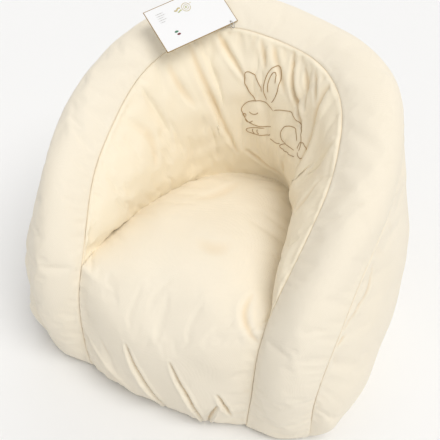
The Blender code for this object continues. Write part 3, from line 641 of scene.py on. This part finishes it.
def newFinish(name, colour, rough, metallic=0.0, **levels):
    made = bpy.data.materials.new(name)
    made.use_nodes = True
    tree = made.node_tree
    shader = tree.nodes["Principled BSDF"]
    shader.inputs["Base Color"].default_value = (*colour, 1.0)
    shader.inputs["Roughness"].default_value = rough
    shader.inputs["Metallic"].default_value = metallic
    for label, level in levels.items():
        shader.inputs[label.replace("_", " ")].default_value = level
    return made, tree, shader


def addNode(tree, kind, **values):
    made = tree.nodes.new(kind)
    for label, value in values.items():
        if label in made.inputs.keys():
            made.inputs[label].default_value = value
        else:
            setattr(made, label, value)
    return made


def objectSpace(tree):
    return addNode(tree, "ShaderNodeTexCoord").outputs["Object"]


def noiseFrom(tree, space, scale, detail=3.0, rough=0.5):
    made = addNode(tree, "ShaderNodeTexNoise", Scale=scale, Detail=detail, Roughness=rough)
    tree.links.new(space, made.inputs["Vector"])
    return made.outputs["Fac"]


def mathFrom(tree, way, *values):
    made = addNode(tree, "ShaderNodeMath", operation=way)
    for place, value in enumerate(values):
        if isinstance(value, (int, float)):
            made.inputs[place].default_value = value
        else:
            tree.links.new(value, made.inputs[place])
    return made.outputs[0]


def mixColour(tree, share, first, second):
    made = addNode(tree, "ShaderNodeMix", data_type="RGBA")
    for label, value in (("Factor", share), ("A", first), ("B", second)):
        socket = [s for s in made.inputs if s.name == label and (label == "Factor" or s.type == "RGBA")][0]
        if isinstance(value, (int, float)):
            socket.default_value = value
        elif isinstance(value, tuple):
            socket.default_value = (*value, 1.0)
        else:
            tree.links.new(value, socket)
    return [s for s in made.outputs if s.type == "RGBA"][0]


def threadBands(tree, space, pitch):     # a weave that any face sees at least two ways of
    total = None
    for way in "XYZ":
        band = addNode(tree, "ShaderNodeTexWave", wave_type="BANDS", bands_direction=way,
                       Scale=math.pi / 10.0 / pitch, Distortion=0.8, Detail=1.0)
        band.inputs["Detail Scale"].default_value = 1.5
        tree.links.new(space, band.inputs["Vector"])
        total = band.outputs["Fac"] if total is None else mathFrom(tree, "ADD", total, band.outputs["Fac"])
    return total


def bumpFrom(tree, height, strength, distance, under=None):
    made = addNode(tree, "ShaderNodeBump", Strength=strength, Distance=distance)
    tree.links.new(height, made.inputs["Height"])
    if under is not None:
        tree.links.new(under, made.inputs["Normal"])
    return made.outputs["Normal"]


# deep is the warm colour of painted shade, mixed into fold valleys and seam grooves
cotton = {"colour": (0.900, 0.815, 0.660), "pale": (0.925, 0.855, 0.720), "deep": (0.800, 0.590, 0.330),
          "pitch": 0.0011, "rough": 0.88}


def cottonFinish(name, colour, pale, deep, pitch, rough, weaveDepth=0.00022):
    made, tree, shader = newFinish(name, colour, rough, Sheen_Weight=0.22, Sheen_Roughness=0.45,
                                   Specular_IOR_Level=0.25)
    space = objectSpace(tree)
    cloudy = noiseFrom(tree, space, 9.0, 4.0, 0.55)
    flecks = noiseFrom(tree, space, 620.0, 2.0, 0.7)
    mixed = mixColour(tree, mathFrom(tree, "MULTIPLY_ADD", cloudy, 0.75, 0.10), colour, pale)
    grain = mathFrom(tree, "MULTIPLY_ADD", flecks, 0.26, -0.05)
    mixed = mixColour(tree, grain, mixed, tuple(0.90 * c for c in colour))
    # painted shade: the fold attribute mixes the warm deep colour in where the cloth folds in or meets a seam
    shadeAmount = addNode(tree, "ShaderNodeAttribute", attribute_name="fold").outputs["Fac"]
    paintedShade = mathFrom(tree, "MULTIPLY", mathFrom(tree, "MAXIMUM", shadeAmount, 0.0), 0.50)
    tree.links.new(mixColour(tree, paintedShade, mixed, deep), shader.inputs["Base Color"])
    soft = bumpFrom(tree, noiseFrom(tree, space, 170.0, 3.0, 0.6), 0.22, 0.0006)
    fuzz = bumpFrom(tree, flecks, 0.25, 0.0003, soft)
    tree.links.new(bumpFrom(tree, threadBands(tree, space, pitch), 0.40, weaveDepth, fuzz),
                   shader.inputs["Normal"])
    return made


coverCotton = cottonFinish("coverCotton", **cotton)
# painted light: the lining cotton is a lighter, warmer copy of the cover cotton, for the brighter and warmer
# light inside the tub
liningCottonPaintedLight = cottonFinish("liningCottonPaintedLight", (0.960, 0.855, 0.655), (0.975, 0.890, 0.725), cotton["deep"],
                            cotton["pitch"], cotton["rough"])
# its third colour is the painted shade for folds; the base cloth carries no fold attribute
baseCotton = cottonFinish("baseCotton", (0.80, 0.72, 0.58), (0.86, 0.79, 0.66), (0.60, 0.48, 0.30),
                          0.0016, 0.95, 0.0004)


def threadFinish(name, colour, shade, pitch, rough=0.55):
    made, tree, shader = newFinish(name, colour, rough, Sheen_Weight=0.3, Sheen_Roughness=0.3)
    space = objectSpace(tree)
    plies = threadBands(tree, space, pitch)
    share = mathFrom(tree, "MULTIPLY", plies, 0.33)
    tree.links.new(mixColour(tree, share, shade, colour), shader.inputs["Base Color"])
    tree.links.new(bumpFrom(tree, plies, 0.6, 0.00025), shader.inputs["Normal"])
    return made


rabbitThread = threadFinish("rabbitThread", (0.60, 0.41, 0.20), (0.42, 0.26, 0.11), 0.0006)
seamThread = threadFinish("seamThread", (0.90, 0.82, 0.68), (0.74, 0.62, 0.44), 0.0005, 0.7)


def tapeFinish(ribPitch=0.0009):     # ribbed polyester tape
    made, tree, shader = newFinish("zipTape", (0.86, 0.78, 0.62), 0.8, Sheen_Weight=0.15)
    space = objectSpace(tree)
    ribs = addNode(tree, "ShaderNodeTexWave", wave_type="BANDS", bands_direction="Z",
                   Scale=math.pi / 10 / ribPitch)
    tree.links.new(space, ribs.inputs["Vector"])
    speck = mathFrom(tree, "MULTIPLY", noiseFrom(tree, space, 900.0), 0.5)
    dyed = mixColour(tree, speck, (0.88, 0.80, 0.64), (0.74, 0.65, 0.48))
    tree.links.new(dyed, shader.inputs["Base Color"])
    tree.links.new(bumpFrom(tree, ribs.outputs["Fac"], 0.5, 0.0003), shader.inputs["Normal"])
    return made


def plainFinish(name, colour, rough, metallic=0.0, speck=0.04, scale=140.0, **levels):
    made, tree, shader = newFinish(name, colour, rough, metallic, **levels)
    space = objectSpace(tree)
    spots = noiseFrom(tree, space, scale, 4.0, 0.6)
    darker = tuple((1.0 - 2.5 * speck) * c for c in colour)
    tree.links.new(mixColour(tree, spots, darker, colour), shader.inputs["Base Color"])
    tree.links.new(mathFrom(tree, "MULTIPLY_ADD", spots, 0.18, rough - 0.09), shader.inputs["Roughness"])
    tree.links.new(bumpFrom(tree, spots, 0.12, 0.0002), shader.inputs["Normal"])
    return made


zipTape = tapeFinish()
coilNylon = plainFinish("coilNylon", (0.88, 0.82, 0.68), 0.38, Coat_Weight=0.2)
enamel = plainFinish("enamel", (0.86, 0.80, 0.68), 0.30, 0.35, Coat_Weight=0.5, Coat_Roughness=0.15)
tagCard = plainFinish("tagCard", (0.86, 0.86, 0.865), 0.42, speck=0.01, scale=500.0, Coat_Weight=0.25,
                      Coat_Roughness=0.3)
tagString = plainFinish("tagString", (0.80, 0.80, 0.80), 0.22, Transmission_Weight=0.55, IOR=1.5)
satin = plainFinish("satin", (0.93, 0.93, 0.92), 0.45, speck=0.03, scale=900.0, Sheen_Weight=0.4)
print("finishes made")


# Pieces

def addPiece(name, mesh, material, body, stands=()):
    made = newObject(name, mesh)
    mesh.materials.append(material)
    mesh.shade_smooth()
    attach(made, body)
    if stands:
        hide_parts(*stands)
    return made


clothThick = 0.0020
dressedCovers = {}


def coverPiece(name, part, stands, material=coverCotton):
    points, paintedShade = dressed(part, covers[part])
    dressedCovers[part] = points
    welded, faces, place = joinGrids([points])
    mesh = meshFrom(name, welded, faces)
    # painted shade for each point, kept in the fold attribute for the cotton finish
    shadeAmount = np.zeros(len(welded))
    shadeAmount[place] = paintedShade.ravel()
    mesh.attributes.new("fold", "FLOAT", "POINT").data.foreach_set("value", shadeAmount)
    made = addPiece(name, mesh, material, "chair", stands)
    thick = made.modifiers.new("cloth", "SOLIDIFY")
    thick.thickness = clothThick
    thick.offset = -1.0


coverPiece("bandCover", "band", ["band_panel", "bolster_foam"])
coverPiece("outerCover", "wall", ["outer_panel"])
coverPiece("liningCover", "lining", ["lining_panel", "lining_wadding"], liningCottonPaintedLight)
coverPiece("seatCover", "seat", ["seat_panel", "seat_foam", "seat_wadding"])
print("covers dressed:", {part: points.shape[:2] for part, points in dressedCovers.items()})


baseThick = 0.0025


def basePiece():     # flat cloth under the chair, sewn to the tucked hems
    right, left = dressedCovers["band"][:, 0][1:-1], dressedCovers["band"][:, -1][1:-1]
    hem = dressedCovers["seat"][0][::-1]
    ring = np.vstack([hem, right, dressedCovers["wall"][-1], left[::-1]]) * np.array([1.0, 1.0, 0.0])
    count = len(ring)
    points = np.vstack([ring, ring + np.array([0.0, 0.0, baseThick])])
    faces = [(k, (k + 1) % count, count + (k + 1) % count, count + k) for k in range(count)]
    faces += [tuple(range(count))[::-1], tuple(range(count, 2 * count))]
    mesh = meshFrom("baseCloth", points, faces)
    addPiece("baseCloth", mesh, baseCotton, "chair", ["base_panel"])


basePiece()


# Threads: flattened strands that lie on a surface, many in one mesh

def tubeFaces(rings, sides):     # walls and closed ends, ring after ring
    faces = []
    for i in range(rings - 1):
        for k in range(sides):
            a, b = i * sides + k, i * sides + (k + 1) % sides
            faces.append((a, a + sides, b + sides, b))
    last = (rings - 1) * sides
    return faces + [tuple(range(sides)), tuple(last + k for k in range(sides))[::-1]]


def strand(path, normals, wide, high, sides=8, taper=0.25):
    path, normals = np.array(path, float), unit(np.array(normals, float))
    across = unit(np.cross(np.gradient(path, axis=0), normals))
    share = np.linspace(0.0, 1.0, len(path))
    swell = np.sqrt(np.clip(np.minimum(share, 1.0 - share) / taper, 0.02, 1.0))[:, None]
    rings = []
    for k in range(sides):
        turn = 2.0 * math.pi * k / sides
        reach = 0.5 * wide * math.cos(turn) * across + 0.5 * high * math.sin(turn) * normals
        rings.append(path + swell * reach)
    return np.stack(rings, axis=1).reshape(-1, 3), tubeFaces(len(path), sides)


def strandMesh(name, strands):
    points, faces, start = [], [], 0
    for spots, rings in strands:
        points.append(spots)
        faces += [tuple(start + v for v in ring) for ring in rings]
        start += len(spots)
    return meshFrom(name, np.concatenate(points), faces)


def surfaceTree(part):
    points = dressedCovers[part]
    welded, faces = joinGrids([points])[:2]
    return BVHTree.FromPolygons(welded.tolist(), [tuple(dict.fromkeys(face)) for face in faces.tolist()
                                                  if len(set(face)) > 2])


# A dozing rabbit in outline stitch, drawn with parts of ovals in shares of its size

rabbit = {
    "middle": (0.030, 0.092, 0.340), "across": (0.86, -0.44, 0.26), "size": (0.134, 0.142),
    "wide": 0.0013, "proud": 0.0009,
    "ovals": [     # middle, half sizes, tilt, first and last angle
        ((-0.180, -0.050), (0.190, 0.150), -14, 38, 318),      # head
        ((0.000, 0.275), (0.078, 0.195), -16, -68, 246),       # near ear and its fold
        ((0.004, 0.290), (0.036, 0.125), -16, 10, 232),
        ((-0.185, 0.255), (0.062, 0.175), 12, -22, 238),       # far ear
        ((0.130, -0.215), (0.285, 0.245), -12, -8, 128),       # back
        ((0.210, -0.245), (0.135, 0.125), 0, 8, 222),          # haunch
        ((0.190, -0.370), (0.150, 0.044), 3, 40, 340),         # hind foot
        ((-0.235, -0.262), (0.135, 0.048), -5, 62, 352),       # front paw
        ((-0.020, -0.215), (0.145, 0.145), 0, 232, 296),       # belly
        ((-0.235, -0.015), (0.048, 0.036), -6, 200, 345),      # shut eye
        ((-0.350, -0.068), (0.020, 0.015), 0, 0, 360),         # nose
        ((-0.305, -0.115), (0.040, 0.032), 0, 180, 335),       # mouth
        ((-0.285, -0.262), (0.018, 0.030), 0, 100, 250),       # toes
        ((-0.235, -0.268), (0.018, 0.030), 0, 100, 250),
    ],
    "tail": {"middle": (0.440, -0.285), "size": 0.066, "tufts": 7, "rough": 0.10},
}


def ovalLine(middle, reach, tilt, first, last):
    turns = np.radians(np.linspace(first, last, max(24, int(abs(last - first) / 3))))
    x, y = reach[0] * np.cos(turns), reach[1] * np.sin(turns)
    lean = math.radians(tilt)
    return np.stack([middle[0] + x * math.cos(lean) - y * math.sin(lean),
                     middle[1] + x * math.sin(lean) + y * math.cos(lean)], axis=1)


def rabbitPiece():
    tree = surfaceTree("lining")
    middle, across = Vector(rabbit["middle"]), Vector(rabbit["across"]).normalized()
    hit, facing = tree.find_nearest(middle)[:2]
    if facing.y > 0.0:
        facing.negate()
    across = (across - facing * across.dot(facing)).normalized()
    up = facing.cross(across) if facing.cross(across).z > 0.0 else across.cross(facing)
    lines = [ovalLine(*oval) for oval in rabbit["ovals"]]
    tail, turns = rabbit["tail"], np.linspace(math.radians(-150), math.radians(190), 90)
    reach = tail["size"] * (1.0 + tail["rough"] * np.abs(np.sin(0.5 * tail["tufts"] * turns)))
    lines.append(np.stack([np.cos(turns) * reach, np.sin(turns) * reach], axis=1) + tail["middle"])
    strands = []
    for line in lines:
        path, normals = [], []
        for x, y in line * np.array(rabbit["size"]):
            seen = hit + across * float(x) + up * float(y) + facing * 0.12
            spot, normal = tree.ray_cast(seen, -facing)[:2]
            if spot is not None:
                normal = normal if normal.dot(facing) > 0.0 else -normal
                path.append(spot + normal * 0.0003)
                normals.append(normal)
        normals = np.array(normals)
        for turn in range(3):
            normals[1:-1] = (normals[:-2] + normals[1:-1] + normals[2:]) / 3.0
        strands.append(strand(path, normals, rabbit["wide"], rabbit["proud"], 8, 0.04))
    addPiece("rabbitStitching", strandMesh("rabbitStitching", strands), rabbitThread, "chair")


rabbitPiece()
print("rabbit stitched")


# Card tag: the card itself comes from the frame, with plain printed marks laid on it

tagPrint = {"lift": 0.00012, "thick": 0.00010, "edge": 0.00016, "rim": 0.0008}
printMarks = [     # kind, middle (along, up) in shares of the card, size in metres, colour name
    ("bar", (-0.335, 0.340), (0.0130, 0.0007), "grey"), ("bar", (-0.325, 0.290), (0.0150, 0.0007), "grey"),
    ("bar", (-0.340, 0.240), (0.0110, 0.0007), "grey"), ("bar", (-0.330, 0.190), (0.0140, 0.0007), "grey"),
    ("bar", (-0.345, 0.140), (0.0090, 0.0007), "grey"),
    ("wave", (-0.105, 0.270), (0.0100, 0.0022), "gold"), ("wave", (-0.085, 0.215), (0.0070, 0.0016), "olive"),
    ("ring", (0.013, 0.245), (0.0125, 0.0009), "gold"), ("ring", (0.013, 0.245), (0.0070, 0.0007), "gold"),
    ("dot", (0.013, 0.245), (0.0028, 0.0028), "olive"), ("bar", (0.090, 0.300), (0.0030, 0.0007), "gold"),
    ("bar", (-0.262, -0.165), (0.0062, 0.0028), "green"), ("bar", (-0.250, -0.232), (0.0058, 0.0028), "red"),
]
inks = {"grey": (0.55, 0.54, 0.52), "gold": (0.62, 0.52, 0.26), "olive": (0.52, 0.55, 0.20),
        "green": (0.05, 0.22, 0.12), "red": (0.20, 0.02, 0.03), "brownEdge": (0.36, 0.22, 0.05)}


def cardFrame():     # (middle of the card's printed face, along, up, outward, length, width)
    mesh = nodes["tag_card"].data
    along = Vector(joints["tag_swing"]["axis"]).normalized()
    widest = max(mesh.polygons, key=lambda face: face.area if face.normal.z > 0.0 else 0.0)
    outward = widest.normal.normalized()
    up = outward.cross(along).normalized()
    spots = np.array([v.co for v in mesh.vertices])
    ranges = [(float((spots @ np.array(way)).min()), float((spots @ np.array(way)).max()))
              for way in (along, up, outward)]
    middle = sum((way * (low + high) / 2.0 for way, (low, high) in zip((along, up), ranges)), Vector())
    middle += outward * ranges[2][1]
    return middle, along, up, outward, *(high - low for low, high in ranges)


def edgeRibbon(x, y, low, high):     # a thin ribbon round an oblong
    under, over = 2.0 * tagPrint["edge"], tagPrint["rim"]
    rings = [(0.0, low), (0.0, high), (over, high), (under, low)]
    points = np.array([(a * (x - back), b * (y - back), z) for back, z in rings
                       for a, b in ((1, 1), (-1, 1), (-1, -1), (1, -1))])
    faces = []
    for ring in range(4):
        a, b = 4 * ring, 4 * ((ring + 1) % 4)
        faces += [(a + k, a + (k + 1) % 4, b + (k + 1) % 4, b + k) for k in range(4)]
    return points, faces


def printPieces():
    middle, along, up, outward, length, width, deep = cardFrame()
    matrix = Matrix((along, up, outward)).transposed().to_4x4()
    matrix.translation = middle + outward * tagPrint["lift"]
    for ink, colour in inks.items():
        strands = []
        for kind, (u, v), (wide, high), name in printMarks:
            if name != ink:
                continue
            x, y = u * length, v * width
            if kind == "bar":
                line = [(x + wide * s, y, 0.0) for s in np.linspace(-0.5, 0.5, 5)]
                thick = high
            elif kind == "wave":
                line = [(x + wide * s, y + 0.12 * wide * math.sin(2.0 * math.pi * s), 0.0)
                        for s in np.linspace(-0.5, 0.5, 21)]
                thick = high
            else:
                reach = 0.5 * wide if kind == "ring" else 0.25 * wide
                line = [(x + reach * math.cos(a), y + reach * math.sin(a), 0.0)
                        for a in np.linspace(0.0, 2.0 * math.pi, 33)]
                thick = high if kind == "ring" else 0.5 * wide
            strands.append(strand(line, [(0.0, 0.0, 1.0)] * len(line), thick, tagPrint["thick"], 6, 0.02))
        if ink == "brownEdge":     # a thin dark brown ribbon round the card's cut edge
            reach, side = tagPrint["edge"], tagPrint["lift"] + deep
            strands = [edgeRibbon(length / 2.0 + reach, width / 2.0 + reach, -side, 0.0)]
        mesh = strandMesh(ink + "Print", strands)
        mesh.transform(matrix)
        addPiece(ink + "Print", mesh, plainFinish(ink + "Ink", colour, 0.5, speck=0.02), "tag")


printPieces()


def showNode(name, material, bevel=0.0):     # a frame piece whose shape is right, with its finish
    piece = nodes[name]
    piece.data.materials.clear()
    piece.data.materials.append(material)
    if bevel:
        edge = piece.modifiers.new("edge", "BEVEL")
        edge.width = bevel
        edge.segments = 3
        edge.limit_method = "ANGLE"


showNode("tag_card", tagCard)
showNode("tag_loop", tagString)
showNode("zip_slider", enamel, 0.00035)
showNode("zip_pull", enamel, 0.00030)
showNode("zip_stop_closed", enamel, 0.00020)
showNode("zip_stop_open", enamel, 0.00020)
print("tag printed")


# Zip round the foot of the back: ribbed tapes, moulded teeth and sewing

zipDesign = {"toothPitch": 0.00165, "toothWide": 0.00078, "toothDeep": 0.0014, "toothOver": 0.0008,
             "cord": 0.0012, "cordIn": 0.0007, "bevel": 0.0004, "stitch": 0.0026, "stitchGap": 0.0036,
             "stitchWide": 0.0006, "stitchHigh": 0.0005, "arcSteps": 160, "tapeSteps": 180,
             "sewing": (("zip_tape_lower", 0.22), ("zip_tape_upper", 0.78))}


def zipArc(node):     # (first angle, last angle, low, high, inner radius, outer radius) of a node
    spots = np.array([v.co for v in nodes[node].data.vertices])
    flat = spots[:, :2] - np.array([0.0, chair["footCentreY"]])
    angle, radius = np.arctan2(flat[:, 1], flat[:, 0]), np.hypot(flat[:, 0], flat[:, 1])
    return angle.min(), angle.max(), spots[:, 2].min(), spots[:, 2].max(), radius.min(), radius.max()


def onArc(radius, angle, height):
    return (radius * math.cos(angle), chair["footCentreY"] + radius * math.sin(angle), height)


def tapePiece(node, name):
    start, end, low, high, near, far = zipArc(node)
    angles = np.linspace(start, end, zipDesign["tapeSteps"])
    bevel = zipDesign["bevel"]
    section = [(near, low), (far, low + bevel), (far, high - bevel), (near, high)]
    rings = np.array([[onArc(radius, angle, height) for radius, height in section] for angle in angles])
    faces = [face[::-1] for face in tubeFaces(len(angles), len(section))]
    mesh = meshFrom(name, rings.reshape(-1, 3), faces)
    addPiece(name, mesh, zipTape, "chair", [node])
    mesh.set_sharp_from_angle(angle=math.radians(40))


def coilPiece(node, name, side):     # teeth along one coil, reaching over the middle by turns
    start, end, low, high, near, far = zipArc(node)
    step = zipDesign["toothPitch"] / near
    reach, middle = zipDesign["toothOver"], (near + far) / 2.0
    strands = []
    for k in range(int((end - start) / step)):
        angle = start + (k + (0.75 if side > 0 else 0.25)) * step
        heights = (low, high + reach) if side < 0 else (low - reach, high)
        out = (math.cos(angle), math.sin(angle), 0.0)
        line = [onArc(middle, angle, heights[0] + (heights[1] - heights[0]) * s)
                for s in (0.0, 0.12, 0.5, 0.88, 1.0)]
        strands.append(strand(line, [out] * 5, zipDesign["toothWide"], zipDesign["toothDeep"], 6, 0.12))
    edge = low + zipDesign["cordIn"] if side < 0 else high - zipDesign["cordIn"]
    turns = np.linspace(start, end, zipDesign["arcSteps"])
    cord = [onArc(middle, turn, edge) for turn in turns]
    outs = [(math.cos(turn), math.sin(turn), 0.0) for turn in turns]
    strands.append(strand(cord, outs, zipDesign["cord"], zipDesign["cord"], 6, 0.01))
    addPiece(name, strandMesh(name, strands), coilNylon, "chair", [node])


def stitchLine(name, height, start, end, radius):
    step = zipDesign["stitchGap"] / radius
    strands = []
    for k in range(int((end - start) / step)):
        first = start + (k + 0.15) * step
        turns = first + np.linspace(0.0, zipDesign["stitch"] / radius, 5)
        line = [onArc(radius, turn, height) for turn in turns]
        outs = [(math.cos(turn), math.sin(turn), 0.0) for turn in turns]
        strands.append(strand(line, outs, zipDesign["stitchWide"], zipDesign["stitchHigh"], 6, 0.3))
    addPiece(name, strandMesh(name, strands), seamThread, "chair")


tapePiece("zip_tape_lower", "tapeLower")
tapePiece("zip_tape_upper", "tapeUpper")
coilPiece("zip_coil_lower", "coilLower", -1)
coilPiece("zip_coil_upper", "coilUpper", 1)
for number, (node, share) in enumerate(zipDesign["sewing"]):
    start, end, low, high, near, far = zipArc(node)
    stitchLine("tapeStitching%d" % number, low + (high - low) * share, start, end, far)
print("zip made")


# Care label, left blank: a satin loop sewn in the outer seam at the back

label = {"wide": 0.030, "thick": 0.0005, "stand": 0.0016, "curl": 0.004, "rows": 13, "columns": 11}


def labelPiece():
    low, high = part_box("care_label")
    tree = surfaceTree("wall")
    middle = (low + high) / 2.0
    angle = math.atan2(middle.y - chair["footCentreY"], middle.x)
    out = Vector((math.cos(angle), math.sin(angle), 0.0))
    side = Vector((math.sin(angle), -math.cos(angle), 0.0))
    grid = []
    for v in np.linspace(0.0, 1.0, label["rows"]):
        row = []
        for u in np.linspace(0.0, 1.0, label["columns"]):
            spot = Vector((middle.x, middle.y, high.z - v * (high.z - low.z)))
            spot += side * label["wide"] * (u - 0.5)
            hit = tree.ray_cast(spot + out * 0.1, -out)[0] or spot
            row.append(hit + out * (label["stand"] + label["curl"] * v ** 3 * (0.6 + 0.4 * u)))
        grid.append(row)
    points, faces = joinGrids([np.array(grid)])[:2]
    mesh = meshFrom("careLabel", points, faces)
    made = addPiece("careLabel", mesh, satin, "chair", ["care_label"])
    thick = made.modifiers.new("cloth", "SOLIDIFY")
    thick.thickness = label["thick"]


labelPiece()


# Studio: pale floor, soft light and the camera

studio = {
    "floor": 60.0, "floorColour": (0.86, 0.86, 0.858), "floorDrop": 0.0004,
    "zenith": (0.57, 0.57, 0.575), "horizon": (0.48, 0.48, 0.48),
    "suns": [     # name, direction that it comes from, strength, width of its disc in degrees, colour
        ("keyLight", (0.45, -0.22, 0.87), 1.60, 34.0, (1.0, 0.988, 0.965)),
        ("fillLight", (-0.30, -0.55, 0.78), 0.10, 60.0, (1.0, 0.985, 0.96)),
        ("backLight", (-0.20, 0.85, 0.48), 0.50, 60.0, (1.0, 0.990, 0.975)),
    ],
}
view = {"azimuth": 22.3, "elevation": 43.3, "roll": 2.4, "distance": 1.185, "aim": (0.0, 0.0, 0.2),
        "slide": (-0.009, -0.006), "lens": 65.45, "sensor": 36.0}


def studioFloor():
    reach = studio["floor"] / 2.0
    mesh = bpy.data.meshes.new("studioFloor")
    corners = [(-reach, -reach), (reach, -reach), (reach, reach), (-reach, reach)]
    mesh.from_pydata([(x, y, -studio["floorDrop"]) for x, y in corners], [], [(0, 1, 2, 3)])
    made = newObject("studioFloor", mesh)
    material, tree, shader = newFinish("floorPaper", studio["floorColour"], 0.9)
    mesh.materials.append(material)


def studioLights():
    scene = bpy.context.scene
    world = bpy.data.worlds.new("softSky")
    world.use_nodes = True
    tree = world.node_tree
    sky = tree.nodes["Background"]
    apart = addNode(tree, "ShaderNodeSeparateXYZ")
    tree.links.new(addNode(tree, "ShaderNodeTexCoord").outputs["Generated"], apart.inputs[0])
    height = mathFrom(tree, "ABSOLUTE", apart.outputs["Z"])
    tree.links.new(mixColour(tree, height, studio["horizon"], studio["zenith"]), sky.inputs["Color"])
    scene.world = world
    scene.view_settings.view_transform = "Standard"
    for name, source, power, width, colour in studio["suns"]:
        lamp = bpy.data.lights.new(name, "SUN")
        lamp.energy = power
        lamp.angle = math.radians(width)
        lamp.color = colour
        made = newObject(name, lamp)
        made.location = Vector(source) * 2.0
        made.rotation_euler = Vector(source).to_track_quat("Z", "Y").to_euler()


def studioCamera():
    turn, rise, roll = (math.radians(view[key]) for key in ("azimuth", "elevation", "roll"))
    back = Vector((math.sin(turn) * math.cos(rise), -math.cos(turn) * math.cos(rise), math.sin(rise)))
    level = Vector((math.cos(turn), math.sin(turn), 0.0))
    upright = back.cross(level)
    right = level * math.cos(roll) + upright * math.sin(roll)
    up = upright * math.cos(roll) - level * math.sin(roll)
    camera = bpy.data.cameras.new("camera")
    camera.lens = view["lens"]
    camera.sensor_width = view["sensor"]
    made = newObject("camera", camera)
    matrix = Matrix((right, up, back)).transposed().to_4x4()
    matrix.translation = (Vector(view["aim"]) + back * view["distance"]
                          + right * view["slide"][0] + up * view["slide"][1])
    made.matrix_world = matrix
    bpy.context.scene.camera = made


studioFloor()
studioLights()
studioCamera()
print("studio set")
